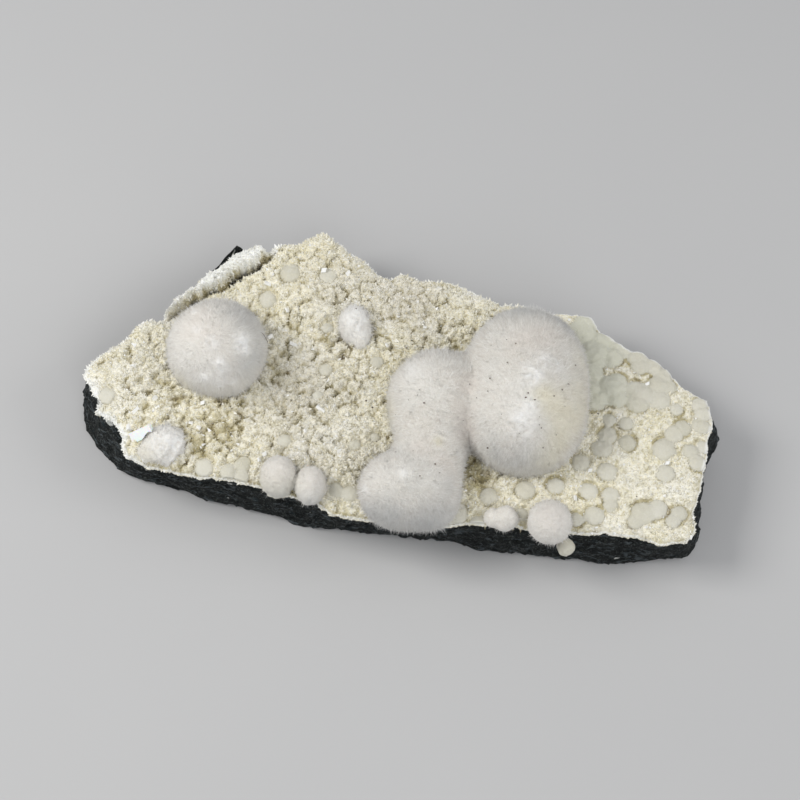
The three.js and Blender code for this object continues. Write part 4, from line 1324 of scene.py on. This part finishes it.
def make_basalt(material):
    """The rock's side in rows from its foot up, its underside, a lid inside the crust, and its tooth."""
    along, line, foot, out = edge_walk()
    top, lip = rock_top(line, out)
    count = len(line)
    z = np.linspace(0, 1, ROCK_ROWS)[:, None] * top
    drop = np.clip(1 - z / CRUST_HEIGHT, 0, 1) ** 0.9
    plan = np.stack([np.broadcast_to(line[:, 0], z.shape), np.broadcast_to(line[:, 1], z.shape), z], axis=2)
    bottom = 0.7 * np.clip(1 - z / 1.5, 0, 1) ** 2
    near_knob = ((line[:, 0] - KNOB["x"]) ** 2 + (line[:, 1] - KNOB["y"]) ** 2) / KNOB["reach"] ** 2
    knob = KNOB["rise"] * np.exp(-(near_knob ** 2) - ((z - KNOB["z"]) / 6) ** 2)
    inset = ROCK_INSET - 0.13 * np.clip(lip, 0, 3)
    relief = broken_relief(along, plan) * (0.25 + 0.75 * np.clip((top - z) / 2.5, 0, 1))
    offset = relief + knob - bottom - inset * (1 - drop)
    side = line + (foot - line) * drop[..., None] + out * offset[..., None]
    lid = np.column_stack([line - LID_INSET * out, np.full(count, CRUST_BED - 0.3)])
    vertices = np.concatenate([np.concatenate([side, z[..., None]], axis=2).reshape(-1, 3), lid])
    number = np.arange(count)
    faces = []
    for start in count * np.arange(ROCK_ROWS):
        a, b = start + number, start + np.roll(number, -1)
        faces.append(np.stack([a, a + count, b + count, b], axis=1))
    faces += [number, (ROCK_ROWS * count + number)[::-1]]
    below_rim = np.tile(top, ROCK_ROWS + 1) - vertices[:, 2]
    left = smooth_step(-46, -60, vertices[:, 0])
    chalky = fractal(vertices, 1.5, 3, seed=103) - 0.8 + (0.1 + 0.2 * left) * np.clip(1 - below_rim / 3, 0, 1)
    tooth, triangles = rock_tooth()
    faces.append(triangles + len(vertices))
    chalky = np.concatenate([chalky, fractal(tooth, 1.0, 3, seed=107) - 0.64])
    make_piece("basalt", np.concatenate([vertices, tooth]), faces, material, "basalt", ("basalt_matrix",),
               smooth=False, chalk=np.clip(0.5 + 6 * chalky, 0, 1))


def rock_tooth():
    """The tooth of rock behind the lip, with broken faces."""
    shape = bmesh.new()
    for corner in TOOTH:
        shape.verts.new(corner)
    bmesh.ops.convex_hull(shape, input=shape.verts)
    bmesh.ops.subdivide_edges(shape, edges=shape.edges, cuts=TOOTH_CUTS, use_grid_fill=True)
    bmesh.ops.triangulate(shape, faces=shape.faces)
    shape.normal_update()
    shape.verts.index_update()
    points, out, triangles = arrays_of(shape)
    rough = 0.9 * (fractal(points, 2.0, 3, seed=109) - 0.5)
    return points + out * rough[:, None], triangles


# ---- Calcite and dirt ----

SQUARE = np.array([(-1, -1), (1, -1), (1, 1), (-1, 1)]) / 2
BOX_FACES = np.array([(0, 3, 2, 1), (4, 5, 6, 7), (0, 1, 5, 4), (1, 2, 6, 5), (2, 3, 7, 6), (3, 0, 4, 7)])


def make_calcite(material, chip_look):
    """The calcite plate's look, and small tilted calcite crystals on the crust."""
    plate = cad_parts["calcite_plate"]
    plate.data.materials.clear()
    plate.data.materials.append(material)
    bits = []
    for number, (x, y, length, width) in enumerate(CALCITE_BITS):
        turn = math.pi * chance(number, 1, 3)
        along = np.array([math.cos(turn), math.sin(turn), 0.7 * (chance(number, 2, 3) - 0.5)])
        across = np.array([-math.sin(turn) + 0.35, math.cos(turn), 0.5 + 0.5 * chance(number, 3, 3)])
        middle = np.array([x, y, sample(level, np.array([x]), np.array([y]))[0] + 0.75])
        face = middle + SQUARE[:, :1] * length * along + SQUARE[:, 1:] * width * across
        through = unit_length(np.cross(along, across)[None])[0]
        bits.append(np.concatenate([face - 0.7 * width * through, face]))
    points, faces = joined(bits, BOX_FACES)
    make_piece("calcite_bits", points, [faces], chip_look, "calcite", smooth=False)


HIGHEST = 42.0  # nothing reaches up to here


def surface_height(x, y):
    """Height of whatever is uppermost at a place: the crust or a puffball's felt."""
    height = sample(crust_z, x, y)
    for lobes in PUFFBALLS.values():
        down = np.full(len(x), HIGHEST)
        for _ in range(40):
            points = np.column_stack([x, y, down])
            down = np.maximum(down - 0.8 * np.maximum(lobe_distance(points, lobes) + 0.4, 0), height)
        height = np.maximum(height, down)
    return height


HAIR_SIDES = 5
HAIR_STEPS = 25
HAIR_RADIUS = 0.075


def hair_tube():
    """The dark hair that lies on the left puffball: its points, sides and two ends."""
    line = np.array(HAIR)
    steps = np.linspace(0, len(line) - 1, HAIR_STEPS)
    path = np.column_stack([np.interp(steps, np.arange(len(line)), line[:, axis]) for axis in range(3)])
    for _ in range(4):
        path[1:-1] = (path[:-2] + 2 * path[1:-1] + path[2:]) / 4
    path = np.array(left_ball[:3]) + unit_length(path - left_ball[:3]) * (left_ball[3] - 0.1)
    first, second = turned_frames(unit_length(np.gradient(path, axis=0)))
    thick = HAIR_RADIUS * np.sin(np.linspace(0.15, math.pi - 0.15, len(path)))[:, None]
    angles = 2 * math.pi * np.arange(HAIR_SIDES) / HAIR_SIDES
    rings = [path + thick * (math.cos(angle) * first + math.sin(angle) * second) for angle in angles]
    k, side = np.meshgrid(np.arange(len(path) - 1), np.arange(HAIR_SIDES), indexing="ij")
    here, beside = HAIR_SIDES * k + side, HAIR_SIDES * k + (side + 1) % HAIR_SIDES
    quads = np.stack([here, beside, beside + HAIR_SIDES, here + HAIR_SIDES], axis=2).reshape(-1, 4)
    ends = [np.arange(HAIR_SIDES)[::-1], np.arange(HAIR_SIDES) + HAIR_SIDES * (len(path) - 1)]
    return np.stack(rings, axis=1).reshape(-1, 3), [quads, *ends]


def make_dirt(material):
    """Dark grains, and a dark hair on the left puffball."""
    x, y = np.array(SPECKS, float).T
    middle = np.column_stack([x, y, surface_height(x, y) + 0.05])
    unit, triangles = ball_mesh(1)
    grains = []
    for number, place in enumerate(middle):
        size = SPECK_RADIUS * (1 + 1.3 * chance(number, 4, 3) ** 2)
        stretch = np.array([1 + chance(number, 5, 3), 1 + 0.6 * chance(number, 6, 3), 0.8])
        rough = 1 + 0.5 * (noise(unit * 2 + 7 * number, 1.0, seed=113) - 0.5)
        grains.append(place + unit * (size * rough)[:, None] * stretch)
    points, faces = joined(grains, triangles)
    hair, hair_faces = hair_tube()
    shifted = [group + len(points) for group in hair_faces]
    make_piece("specks", np.concatenate([points, hair]), [faces, *shifted], material, "okenite")


make_camera()
make_studio()
crust = make_crust(crust_material())
make_crystals(crust, crystal_material())
make_gyrolite(gyrolite_material())
felt_look, fur_look = okenite_material(), fur_material()
for piece_name in PUFFBALLS:
    make_okenite_piece(piece_name, felt_look, fur_look)
make_basalt(basalt_material())
make_calcite(calcite_material(), chip_material())
make_dirt(dirt_material())
